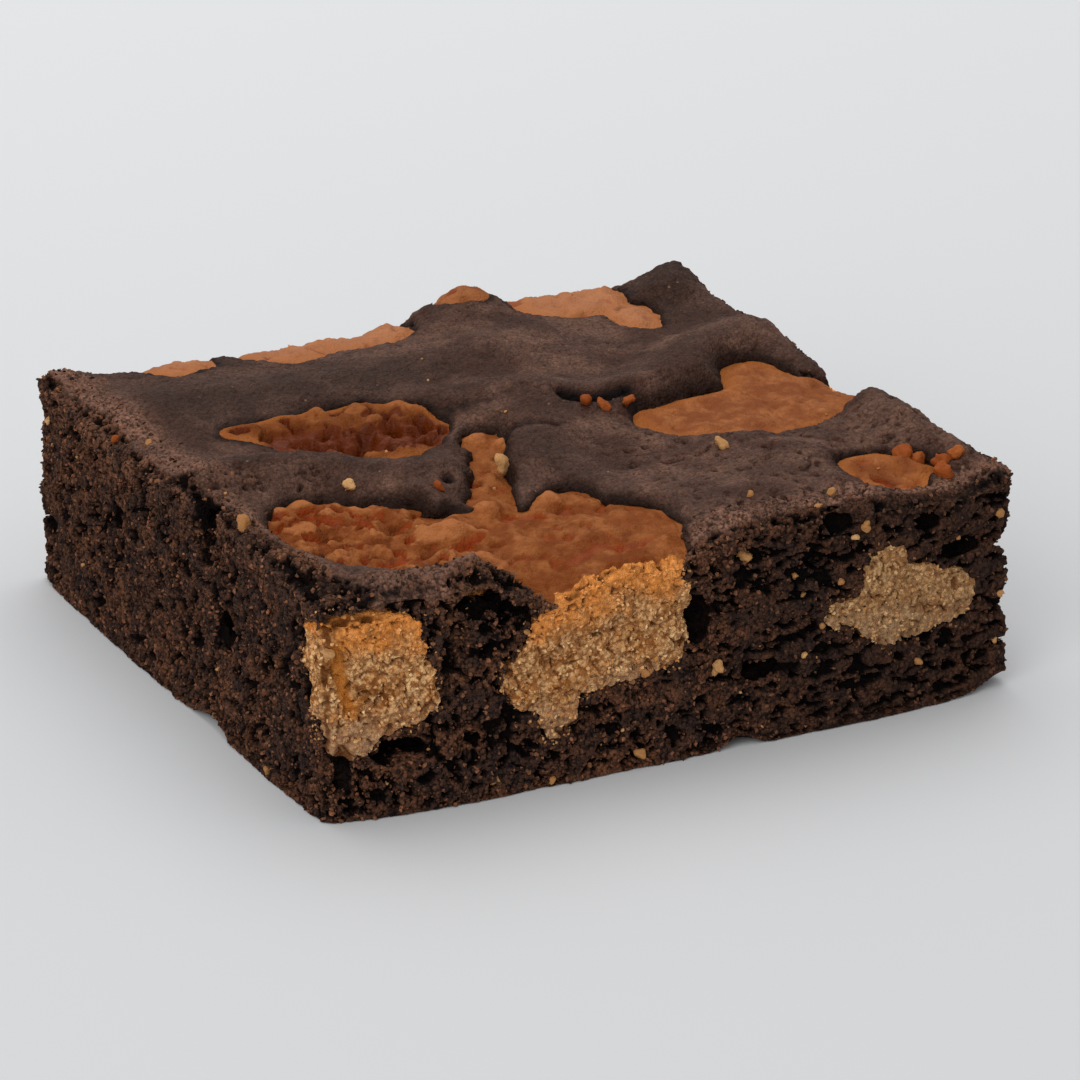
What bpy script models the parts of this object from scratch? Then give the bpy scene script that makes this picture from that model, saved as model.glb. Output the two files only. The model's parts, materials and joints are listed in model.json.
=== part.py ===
"""A square-cut bar of brownie cookie: dark chocolate crumb with lumps of pale cookie dough baked into it.

Run it with: blender --background --python part.py
The model is in metres with +Z up, and stands on its underside, whose middle is the origin.
The front is the long cut face at -Y, and the left is the cut face at -X.
All sizes below are in millimetres and become metres when a mesh is finished.
"""

import math
import random

import bmesh
import bpy
from mathutils import Matrix, Vector, noise

MM = 0.001

# Driving dimensions of the bar
LENGTH = 74.0  # along X
WIDTH = 70.0  # along Y
GROUND = 20.9  # the level that dough and crust rise from
CRUST_RISE = 0.7  # how far the dark batter stands over the dough
CORNER_RADIUS = 1.4  # of the four upright corners
TOP_ROLL = 1.1  # how far the crust rolls over towards a cut face
TOP_DROP = 0.7  # how much lower the crust is at its rolled edge
CLEARANCE = 0.3  # gap between a lump of dough and its pocket

# Spacing of the relief's points, and the share of triangles that the finished meshes keep
GRID = 1.0
LUMP_VOXEL = 0.8
SLAB_KEPT = 0.14
LUMP_KEPT = 0.07

# Where the whole top swells or sags: (points of a path, spread, rise)
SWELLS = [
    ([(-14, -34)], 5.0, -2.2),
    ([(-2, -35)], 5.0, -0.6),
    ([(10, -28), (17, -26)], 9.0, 1.3),
    ([(27, -30), (33, -32)], 5.0, -0.3),
    ([(37, 0)], 6.0, -1.2),
    ([(-36, 34)], 6.0, 0.8),
    ([(-28, 37), (-1, 37)], 4.5, -1.6),
    ([(-26.5, 37)], 2.0, -0.8),
    ([(-16.5, 37)], 1.8, -0.9),
    ([(14.5, 37)], 1.6, -1.6),
    ([(10.5, 34)], 4.0, 2.4),
    ([(0, 9), (8, 17)], 10.0, 0.7),
]

# Ridges of dark batter between the lumps: (points of a path, spread, rise)
RIDGES = [
    ([(-35.5, -10), (-35.5, -20), (-33.5, -28), (-28, -32), (-21, -32.5)], 2.6, 1.4),
    ([(-34, -1.5), (-27, -2), (-24.5, -2.8)], 3.4, 2.5),
    ([(-20, -4.5), (-15.5, -7), (-12.5, -7.5)], 3.0, 1.5),
    ([(-16.5, -13), (-16, -17)], 2.2, 1.4),
    ([(-31, 19), (-19, 19), (-6, 19), (8, 20)], 5.5, 1.3),
    ([(-3, -9), (1, -3), (3, 5)], 4.5, 1.5),
    ([(-4, 8), (7, 4.5)], 3.5, 0.9),
    ([(14, 2), (20, 4.5), (26, 10), (33, 13)], 4.2, 2.1),
    ([(31.8, 28), (33.6, 31)], 2.9, 2.4),
    ([(33.5, -12), (34, -17)], 3.4, 2.4),
    ([(35.5, -23), (36, -31)], 3.4, 1.5),
    ([(18, -15), (21, -21)], 4.0, 0.9),
    ([(6, 29), (8, 32)], 3.0, 0.9),
    ([(-20, -31.8), (-14.5, -32.2)], 2.4, 1.5),
]

# The lumps of dough. A top patch is an ellipse in plan: (x, y, x radius, y radius, turn in degrees, depth).
# A buried ball meets a cut face: (x, y, z, x radius, y radius, z radius).
DOUGH = {
    "dough_front": {
        "rise": -0.1,
        "tops": [
            (-25.9, -17, 6.4, 9.8, 4, 8),
            (-20.8, -17.6, 4.6, 7.4, 0, 8),
            (-15, -19.6, 3.2, 3.4, 0, 7),
            (-17, -26, 9, 5.4, 0, 8),
            (-6.5, -27.5, 9.4, 9.6, 0, 9),
            (-4.2, -19.5, 3.6, 4.6, -25, 8),
            (-9.3, -14, 2.2, 8.6, -22, 6),
            (-6.2, -6.6, 1.6, 4.2, -22, 6),
            (-4.1, -1.4, 2.3, 3.3, -10, 6),
        ],
        "balls": [
            (-8.2, -34.5, 13.9, 8, 8, 5.0),
            (-13.6, -34.5, 11.2, 5.2, 6, 3.6),
            (-3, -34.5, 15, 3.9, 6, 5.6),
            (-12.4, -35, 7.2, 1.7, 4, 2.8),
        ],
    },
    "dough_corner": {
        "rise": 0,
        "tops": [],
        "balls": [
            (-31.6, -33, 16.4, 5.6, 6.5, 4.3),
            (-30.8, -33.5, 12.6, 6.0, 6, 4.3),
            (-33, -34, 9.2, 2.6, 4.5, 3.2),
            (-34, -33, 17, 2.6, 3, 3.6),
            (-27.6, -34, 11.4, 3.0, 4, 2.6),
        ],
    },
    "dough_left": {
        "rise": 0.4,
        "tilt": 0.6,
        "tops": [(-13.9, 5.6, 8.6, 7.0, -10, 8), (-20.6, 9.8, 5.8, 3.0, -10, 5)],
        "balls": [],
    },
    "dough_right": {
        "rise": 0.1,
        "tops": [
            (23.5, -5, 11, 7, -3, 8),
            (29.2, 1.2, 5, 7, 0, 7),
            (14.6, -3.5, 3.2, 3.4, 0, 6),
            (34, -1.5, 4.5, 5.5, 0, 9),
        ],
        "balls": [(35, 0, 13.5, 6, 7, 4.5)],
    },
    "dough_edge": {
        "rise": 0.2,
        "tops": [(26, -26, 4.2, 5.2, 0, 5), (29.4, -25.4, 2.8, 3.6, 0, 4)],
        "balls": [],
    },
    "dough_cut": {
        "rise": 0,
        "tops": [],
        "balls": [
            (24.2, -34.5, 11.3, 6.2, 7, 3.9),
            (21.8, -34.5, 14.5, 2.6, 4, 3.0),
            (28.8, -34.5, 11, 3.0, 4, 2.7),
            (17.6, -34.5, 11.4, 2.6, 3, 1.4),
        ],
    },
    "dough_back_left": {
        "rise": 0.9,
        "tops": [(-22, 32.5, 3.9, 4.6, 0, 9)],
        "balls": [(-22, 34.5, 14, 4.2, 5, 5)],
    },
    "dough_back": {
        "rise": 0.5,
        "tops": [(-10, 32.5, 5.6, 5.4, 0, 9), (-2.5, 33, 6.5, 5.6, 0, 8)],
        "balls": [(-7, 34.5, 14, 7.2, 6, 4.5)],
    },
    "dough_peak": {
        "rise": 0.9,
        "tops": [(10, 33.4, 2.9, 2.6, 0, 6)],
        "balls": [],
    },
    "dough_back_right": {
        "rise": 0.6,
        "tops": [(21.9, 32, 6.4, 6.2, 0, 10), (25.6, 24.5, 2.7, 4.6, 6, 7)],
        "balls": [(22, 34.5, 12.5, 6, 6, 4)],
    },
}
WOBBLE = 0.7  # how far a lump's outline wanders
WOBBLE_SIZE = 4.0
SHOULDER = 2.1  # width over which batter rounds down to the dough
SEAM_WIDTH = 0.9
SEAM_DEPTH = 0.35
DOUGH_LUMPS = 0.45
DOUGH_LUMP_SIZE = 3.4
CRUST_WAVES = 0.3
CRUST_WAVE_SIZE = 7.0

# Where a cut face lies inside the box of the whole bar: (face, place along it, spread, depth)
BOWS = [
    ("front", -39, 9.0, 1.7),
    ("front", 39, 9.0, 1.6),
    ("left", -34, 16.0, 0.9),
    ("left", -8, 9.0, 0.5),
    ("right", -16, 12.0, 0.5),
    ("back", -39, 9.0, 0.5),
    ("back", 39, 9.0, 1.2),
]
BOW_REACH = 14.0  # how far inside a cut face its bow dies away

# Torn hollows in the cut faces: (face, place along it, height, half width, half height, depth)
HOLLOWS = [
    ("front", -20.1, 19.6, 2.6, 1.5, 2.6),
    ("front", -16.5, 17.8, 1.6, 1.4, 1.8),
    ("front", -22.5, 15.2, 1.7, 2.4, 1.9),
    ("front", -23.3, 11.4, 1.6, 1.8, 1.4),
    ("front", -27.9, 6.2, 3.0, 1.9, 2.4),
    ("front", -34.9, 4.9, 1.0, 2.6, 1.4),
    ("front", 1.5, 14.2, 1.6, 2.2, 1.4),
    ("front", 8.3, 7.4, 2.0, 1.0, 1.6),
    ("front", 16.5, 21.4, 1.8, 1.3, 1.5),
    ("front", 26.3, 19.0, 1.5, 1.5, 1.4),
    ("front", 30.7, 16.0, 2.6, 0.9, 1.3),
    ("front", 4.7, 19.0, 2.2, 1.0, 1.1),
    ("left", -7.4, 21.0, 2.3, 2.2, 2.2),
    ("left", -11.6, 11.4, 1.6, 1.6, 1.7),
    ("left", 5.4, 17.4, 1.2, 1.0, 1.0),
    ("left", 13.6, 14.0, 1.6, 1.2, 1.1),
    ("left", 24.4, 18.4, 1.8, 1.2, 1.1),
    ("left", 31.4, 6.6, 1.3, 1.0, 1.0),
    ("left", -30.6, 12.0, 1.2, 2.0, 1.2),
]
HOLLOW_SEED = 7
STRAY_HOLLOWS = 34  # smaller ones, spread over all four cut faces
# Long grooves between layers of crumb: (face, height, half height, depth)
GROOVES = [
    ("right", 14.4, 1.5, 1.1),
    ("right", 7.6, 1.3, 0.8),
    ("back", 12.5, 2.0, 0.6),
    ("left", 17.6, 1.2, 0.4),
]
CUT_ROUGHNESS = 0.5
CUT_GRAIN = 2.6
CUT_REACH = 4.0  # how far inside a cut face its relief dies away

# The underside: a flat pad that the bar stands on, from which it rises very little to its edges
PAD_LENGTH = 60.0
PAD_WIDTH = 56.0
EDGE_LIFT = 0.7  # at the box of the whole bar
SOLE = 0.4  # extra thickness under the bar that the underside is cut from

# Nicks along the bottom edges: (face, place along it, half width, height)
NICKS = [
    ("front", 6.4, 1.7, 1.6),
    ("front", 36.0, 3.2, 1.9),
    ("left", -8.5, 3.4, 1.7),
    ("left", 34.0, 2.4, 1.2),
    ("right", -34.0, 4.0, 1.8),
    ("right", 12.0, 4.0, 1.3),
    ("back", -14.0, 5.0, 1.2),
]
NICK_REACH = 1.6

CHOCOLATE = (0.045, 0.028, 0.021)
COOKIE = (0.42, 0.20, 0.075)

FACES = ("front", "right", "back", "left")


def clear_scene():
    for obj in list(bpy.data.objects):
        bpy.data.objects.remove(obj)


def new_material(name, colour, roughness):
    material = bpy.data.materials.new(name)
    material.use_nodes = True
    shader = material.node_tree.nodes["Principled BSDF"]
    shader.inputs["Base Color"].default_value = (*colour, 1)
    shader.inputs["Roughness"].default_value = roughness
    shader.inputs["Metallic"].default_value = 0
    return material


def new_collection(name):
    collection = bpy.data.collections.new(name)
    bpy.context.scene.collection.children.link(collection)
    return collection


def new_object(name, mesh, collection):
    obj = bpy.data.objects.new(name, mesh)
    collection.objects.link(obj)
    return obj


def applied(obj):
    """The mesh that the object's modifiers make, with the object itself removed."""
    bpy.context.view_layer.update()
    graph = bpy.context.evaluated_depsgraph_get()
    mesh = bpy.data.meshes.new_from_object(obj.evaluated_get(graph))
    bpy.data.objects.remove(obj)
    return mesh


# Relief of the top


def bump(distance, spread):
    return math.exp(-((distance / spread) ** 2))


def path_distance(x, y, path):
    """Distance from (x, y) to a path of straight stretches, or to its one point."""
    here = Vector((x, y))
    points = [Vector(p) for p in path]
    nearest = min((here - p).length for p in points)
    for start, end in zip(points, points[1:]):
        along = end - start
        share = (here - start).dot(along) / along.length_squared
        if 0 < share < 1:
            nearest = min(nearest, (here - start - along * share).length)
    return nearest


def total_rise(x, y, features):
    return sum(rise * bump(path_distance(x, y, path), spread) for path, spread, rise in features)


def waves(x, y, size, seed):
    return noise.noise(Vector((x / size, y / size, seed)))


def ellipse_distance(x, y, patch):
    """Roughly how far (x, y) is outside the patch's outline, negative inside it."""
    cx, cy, rx, ry, turn, _ = patch
    angle = math.radians(-turn)
    dx, dy = x - cx, y - cy
    u = (dx * math.cos(angle) - dy * math.sin(angle)) / rx
    v = (dx * math.sin(angle) + dy * math.cos(angle)) / ry
    scaled = math.hypot(u, v)
    steepness = math.hypot(u / rx, v / ry)
    if steepness < 1e-6:
        return -min(rx, ry)
    return scaled * (scaled - 1) / steepness


def wobble(x, y):
    """How far a lump's outline is pushed out at (x, y)."""
    return WOBBLE * waves(x, y, WOBBLE_SIZE, 3.1)


def nearest_dough(x, y):
    """(distance outside the nearest dough outline, that lump's name)."""
    found = [
        (ellipse_distance(x, y, patch), name)
        for name, lump in DOUGH.items()
        for patch in lump["tops"]
    ]
    distance, name = min(found)
    return distance - wobble(x, y), name


def ground_height(x, y):
    return GROUND + total_rise(x, y, SWELLS)


def dough_rise(y, name):
    """How far a lump stands over the ground, with a tilt from its near side to its far side."""
    lump = DOUGH[name]
    _, middle, _, reach, _, _ = lump["tops"][0]
    return lump["rise"] + lump.get("tilt", 0) * max(-1, min((y - middle) / reach, 1))


def dough_height(x, y, name, inside):
    """The baked top of a lump, `inside` millimetres within its outline."""
    lumps = DOUGH_LUMPS * waves(x, y, DOUGH_LUMP_SIZE, 8.4)
    seam = SEAM_DEPTH * bump(inside, SEAM_WIDTH)
    return ground_height(x, y) + dough_rise(y, name) + lumps - seam


def crust_height(x, y):
    ripple = CRUST_WAVES * waves(x, y, CRUST_WAVE_SIZE, 1.7)
    return ground_height(x, y) + CRUST_RISE + total_rise(x, y, RIDGES) + ripple


def top_height(x, y):
    distance, name = nearest_dough(x, y)
    dough = dough_height(x, y, name, max(-distance, 0))
    if distance <= 0:
        height = dough
    else:
        share = min(distance / SHOULDER, 1)
        round_up = math.sqrt(1 - (1 - share) ** 2)
        height = dough + (crust_height(x, y) - dough) * round_up
    edge = min(LENGTH / 2 - abs(x), WIDTH / 2 - abs(y))
    return height - TOP_DROP * bump(max(edge, 0), TOP_ROLL)


# Relief of the cut faces


def stray_hollows():
    """Small hollows strewn over the four cut faces by a seeded draw."""
    draw = random.Random(HOLLOW_SEED)
    made = []
    for count in range(STRAY_HOLLOWS):
        face = FACES[count % len(FACES)]
        half = (LENGTH if face in ("front", "back") else WIDTH) / 2
        made.append(
            (
                face,
                draw.uniform(4 - half, half - 4),
                draw.uniform(3, GROUND - 3),
                draw.uniform(1.2, 2.4),
                draw.uniform(0.8, 1.6),
                draw.uniform(0.6, 1.4),
            )
        )
    return made


ALL_HOLLOWS = HOLLOWS + stray_hollows()


def face_relief(face, along, z):
    """How far a cut face is torn inwards at a place along it and a height."""
    seed = 10.0 * FACES.index(face)
    rough = noise.noise(Vector((along / CUT_GRAIN, z / CUT_GRAIN, seed)))
    broad = noise.noise(Vector((along / (4 * CUT_GRAIN), z / (4 * CUT_GRAIN), seed + 5)))
    depth = CUT_ROUGHNESS * (0.6 * abs(rough) + 0.9 * abs(broad))
    for name, place, height, half_width, half_height, deep in ALL_HOLLOWS:
        if name == face:
            far = math.hypot((along - place) / half_width, (z - height) / half_height)
            depth += deep * bump(far, 0.8)
    for name, height, half_height, deep in GROOVES:
        if name == face:
            depth += deep * bump(z - height, half_height)
    return depth


def face_bow(face, along):
    return sum(depth * bump(along - place, spread) for name, place, spread, depth in BOWS if name == face)


def nick_height(face, along):
    """How high the underside is nicked at a place along a cut face."""
    return sum(
        high * bump(along - place, half_width)
        for name, place, half_width, high in NICKS
        if name == face
    )


def rounded_corner(x, y):
    """Moves a point of the square outline's corners onto the round ones."""
    inner_x, inner_y = LENGTH / 2 - CORNER_RADIUS, WIDTH / 2 - CORNER_RADIUS
    over_x, over_y = abs(x) - inner_x, abs(y) - inner_y
    if over_x <= 0 or over_y <= 0:
        return x, y
    pull = max(over_x, over_y) / math.hypot(over_x, over_y)
    return (
        math.copysign(inner_x + over_x * pull, x),
        math.copysign(inner_y + over_y * pull, y),
    )


def shaped(x, y, share):
    """The place of a block point: (x, y) in plan, and its share of the height there."""
    z = share * (SOLE + top_height(x, y)) - SOLE
    sides = {
        "front": (WIDTH / 2 + y, x, 0, 1),
        "back": (WIDTH / 2 - y, x, 0, -1),
        "left": (LENGTH / 2 + x, y, 1, 0),
        "right": (LENGTH / 2 - x, y, -1, 0),
    }
    move_x = move_y = lift = 0.0
    for face, (far, along, in_x, in_y) in sides.items():
        if far < BOW_REACH:
            inward = face_bow(face, along) * (1 - far / BOW_REACH)
            if far < CUT_REACH:
                inward += face_relief(face, along, z) * (1 - far / CUT_REACH)
                lift = max(lift, nick_height(face, along) * bump(far, NICK_REACH) * (1 - share))
            move_x += in_x * inward
            move_y += in_y * inward
    round_x, round_y = rounded_corner(x, y)
    return Vector((round_x + move_x, round_y + move_y, z + lift))


def sole_mesh():
    """A tall block with a flat pad below, whose underside slopes up from the pad to the bar's edges."""
    over = 2 * SOLE  # beyond the bar's own box, on the same slope
    rise = EDGE_LIFT / ((LENGTH - PAD_LENGTH) / 2)
    levels = [
        (PAD_LENGTH, PAD_WIDTH, 0),
        (LENGTH + 2 * over, WIDTH + 2 * over, EDGE_LIFT + rise * over),
        (LENGTH + 2 * over, WIDTH + 2 * over, 2 * GROUND),
    ]
    corners = [
        Vector((sign_x * length / 2, sign_y * width / 2, z)) * MM
        for length, width, z in levels
        for sign_x, sign_y in ((-1, -1), (1, -1), (1, 1), (-1, 1))
    ]
    top = 4 * (len(levels) - 1)
    faces = [(3, 2, 1, 0), (top, top + 1, top + 2, top + 3)]
    for low in range(0, top, 4):
        for side in range(4):
            after = (side + 1) % 4
            faces.append((low + side, low + after, low + after + 4, low + side + 4))
    mesh = bpy.data.meshes.new("sole")
    mesh.from_pydata(corners, [], faces)
    return mesh


def slab_mesh():
    """The whole bar as one closed block with all its relief, before any dough is taken out of it."""
    bm = bmesh.new()
    bmesh.ops.create_cube(bm, size=1)
    size = Vector((LENGTH, WIDTH, GROUND))
    for axis in range(3):
        along = [e for e in bm.edges if abs((e.verts[0].co - e.verts[1].co)[axis]) > 0.5]
        cuts = round(size[axis] / GRID) - 1
        bmesh.ops.subdivide_edges(bm, edges=along, cuts=cuts, use_grid_fill=True)
    for vertex in bm.verts:
        x, y, z = vertex.co
        vertex.co = shaped(x * LENGTH, y * WIDTH, z + 0.5) * MM
    mesh = bpy.data.meshes.new("slab")
    bm.to_mesh(mesh)
    bm.free()
    slab = new_object("slab", mesh, bpy.context.scene.collection)
    thin = slab.modifiers.new("Thin", "DECIMATE")
    thin.ratio = SLAB_KEPT
    sole = new_object("sole", sole_mesh(), bpy.context.scene.collection)
    add_boolean(slab, "INTERSECT", object=sole)
    mesh = applied(slab)
    bpy.data.objects.remove(sole)
    return mesh


# Lumps of dough


def ball(bm, x, y, z, rx, ry, rz, turn=0):
    place = Matrix.Translation(Vector((x, y, z)) * MM)
    stretch = Matrix.Diagonal((rx * MM, ry * MM, rz * MM, 1))
    bmesh.ops.create_icosphere(
        bm,
        subdivisions=4,
        radius=1,
        matrix=place @ Matrix.Rotation(math.radians(turn), 4, "Z") @ stretch,
    )


def lump_mesh(name):
    """A lump as it lies in the batter, reaching a little over the bar's top and past its cut faces."""
    bm = bmesh.new()
    for x, y, rx, ry, turn, depth in DOUGH[name]["tops"]:
        ball(bm, x, y, ground_height(x, y), rx, ry, depth, turn)
    for x, y, z, rx, ry, rz in DOUGH[name]["balls"]:
        ball(bm, x, y, z, rx, ry, rz)
    mesh = bpy.data.meshes.new(name + "_balls")
    bm.to_mesh(mesh)
    bm.free()
    lump = new_object(name + "_lump", mesh, bpy.context.scene.collection)
    join = lump.modifiers.new("Join", "REMESH")
    join.mode = "VOXEL"
    join.voxel_size = LUMP_VOXEL * MM
    soften = lump.modifiers.new("Soften", "SMOOTH")
    soften.iterations = 3
    mesh = applied(lump)
    for vertex in mesh.vertices:
        x, y, _ = vertex.co / MM
        vertex.co += Vector((vertex.normal.x, vertex.normal.y, 0)) * wobble(x, y) * MM
    lump = new_object(name + "_lump", mesh, bpy.context.scene.collection)
    thin = lump.modifiers.new("Thin", "DECIMATE")
    thin.ratio = LUMP_KEPT
    return applied(lump)


def add_boolean(obj, operation, **operand):
    boolean = obj.modifiers.new(operation.title(), "BOOLEAN")
    boolean.operation = operation
    boolean.solver = "EXACT"
    for key, value in operand.items():
        setattr(boolean, key, value)


def hide_helper(obj):
    obj.hide_render = True
    obj.display_type = "WIRE"


def build_dough(name, slab, bar, cutters, pockets, material):
    """A lump cut to the bar's own surface, and the slightly larger cutter of its pocket."""
    lump = lump_mesh(name)
    inner = new_object(name + "_lump", lump, cutters)
    hide_helper(inner)
    pocket = new_object(name + "_pocket", lump, pockets)
    hide_helper(pocket)
    grow = pocket.modifiers.new("Clearance", "DISPLACE")
    grow.mid_level = 0
    grow.strength = CLEARANCE * MM
    piece = new_object(name, slab.copy(), bar)
    piece.data.materials.append(material)
    add_boolean(piece, "INTERSECT", object=inner)


def main():
    clear_scene()
    bar = new_collection("brownie_bar")
    cutters = new_collection("lumps")
    pockets = new_collection("pockets")
    chocolate = new_material("chocolate", CHOCOLATE, 0.75)
    cookie = new_material("cookie", COOKIE, 0.65)
    slab = slab_mesh()
    for name in DOUGH:
        build_dough(name, slab, bar, cutters, pockets, cookie)
    brownie = new_object("brownie", slab.copy(), bar)
    brownie.data.materials.append(chocolate)
    add_boolean(brownie, "DIFFERENCE", operand_type="COLLECTION", collection=pockets)


main()
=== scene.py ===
"""Looks of a square-cut bar of brownie cookie: dark, torn chocolate crumb under a dull baked crust, with
lumps of cookie dough that are browned and pitted on top and sandy where the bar was cut.

Sizes and places are in millimetres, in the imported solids' frame, and become metres when a mesh is finished.
The front is the long cut face at -Y, and the left is the cut face at -X.
"""

import json
import math
import random

import bmesh
import bpy
import numpy as np
from mathutils import Matrix, Vector, noise
from mathutils.bvhtree import BVHTree

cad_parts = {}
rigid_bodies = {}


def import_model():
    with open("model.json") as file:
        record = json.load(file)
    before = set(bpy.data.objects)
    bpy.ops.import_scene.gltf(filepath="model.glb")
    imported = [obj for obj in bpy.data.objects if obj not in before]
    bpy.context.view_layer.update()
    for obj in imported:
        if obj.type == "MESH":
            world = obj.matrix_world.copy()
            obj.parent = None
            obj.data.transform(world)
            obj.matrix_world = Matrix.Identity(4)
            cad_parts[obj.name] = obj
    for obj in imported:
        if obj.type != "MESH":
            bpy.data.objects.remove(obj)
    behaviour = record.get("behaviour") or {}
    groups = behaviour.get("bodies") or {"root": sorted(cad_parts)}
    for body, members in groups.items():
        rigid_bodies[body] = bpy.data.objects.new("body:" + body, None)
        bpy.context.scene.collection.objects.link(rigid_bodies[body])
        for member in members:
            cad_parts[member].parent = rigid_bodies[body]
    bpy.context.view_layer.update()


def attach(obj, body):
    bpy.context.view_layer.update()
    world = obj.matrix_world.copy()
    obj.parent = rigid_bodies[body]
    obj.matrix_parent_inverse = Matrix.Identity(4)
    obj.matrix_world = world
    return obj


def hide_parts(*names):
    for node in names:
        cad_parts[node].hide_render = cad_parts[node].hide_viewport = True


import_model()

MM = 0.001
NOISE_SEED = 12
noise.seed_set(NOISE_SEED)  # unset, the vectors that warp the patterns follow the clock

# ---------------------------------------------------------------- the bar's sizes, as its solids have them

LENGTH = 74.0
WIDTH = 70.0
GROUND = 20.9  # the level that dough and crust rise from
CRUST_RISE = 0.7
CORNER_RADIUS = 1.4
TOP_ROLL = 1.1
TOP_DROP = 0.7

# Where the whole top swells or sags: (points of a path, spread, rise)
SWELLS = [
    ([(-14, -34)], 5.0, -2.2),
    ([(-2, -35)], 5.0, -0.6),
    ([(10, -28), (17, -26)], 9.0, 1.3),
    ([(27, -30), (33, -32)], 5.0, -0.3),
    ([(37, 0)], 6.0, -1.2),
    ([(-36, 34)], 6.0, 0.8),
    ([(-28, 37), (-1, 37)], 4.5, -1.6),
    ([(-26.5, 37)], 2.0, -0.8),
    ([(-16.5, 37)], 1.8, -0.9),
    ([(14.5, 37)], 1.6, -1.6),
    ([(10.5, 34)], 4.0, 2.4),
    ([(0, 9), (8, 17)], 10.0, 0.7),
]

# Ridges of dark batter between the lumps: (points of a path, spread, rise)
RIDGES = [
    ([(-35.5, -10), (-35.5, -20), (-33.5, -28), (-28, -32), (-21, -32.5)], 2.6, 1.4),
    ([(-34, -1.5), (-27, -2), (-24.5, -2.8)], 3.4, 2.5),
    ([(-20, -4.5), (-15.5, -7), (-12.5, -7.5)], 3.0, 1.5),
    ([(-16.5, -13), (-16, -17)], 2.2, 1.4),
    ([(-31, 19), (-19, 19), (-6, 19), (8, 20)], 5.5, 1.3),
    ([(-3, -9), (1, -3), (3, 5)], 4.5, 1.5),
    ([(-4, 8), (7, 4.5)], 3.5, 0.9),
    ([(14, 2), (20, 4.5), (26, 10), (33, 13)], 4.2, 2.1),
    ([(31.8, 28), (33.6, 31)], 2.9, 2.4),
    ([(33.5, -12), (34, -17)], 3.4, 2.4),
    ([(35.5, -23), (36, -31)], 3.4, 1.5),
    ([(18, -15), (21, -21)], 4.0, 0.9),
    ([(6, 29), (8, 32)], 3.0, 0.9),
    ([(-20, -31.8), (-14.5, -32.2)], 2.4, 1.5),
]

# The lumps of dough. A top patch is an ellipse in plan: (x, y, x radius, y radius, turn in degrees, depth).
# A buried ball meets a cut face: (x, y, z, x radius, y radius, z radius).
# `tilt` is how much its far side rises, `pitted` how much its baked top is pocked, `ringed` how bright its
# rim is there, `pale` and `deep` how light or dark its top is, and `dull` how grey its cut face is, all
# from 0 to 1.
# On the far lumps the lighter `pale` top is partly a painted sheen
PLAIN_LUMP = {
    "tops": [],
    "balls": [],
    "rise": 0,
    "tilt": 0,
    "pitted": 0,
    "ringed": 0,
    "pale": 0,
    "deep": 0,
    "dull": 0,
}


def lump(**values):
    return {**PLAIN_LUMP, **values}


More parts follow.
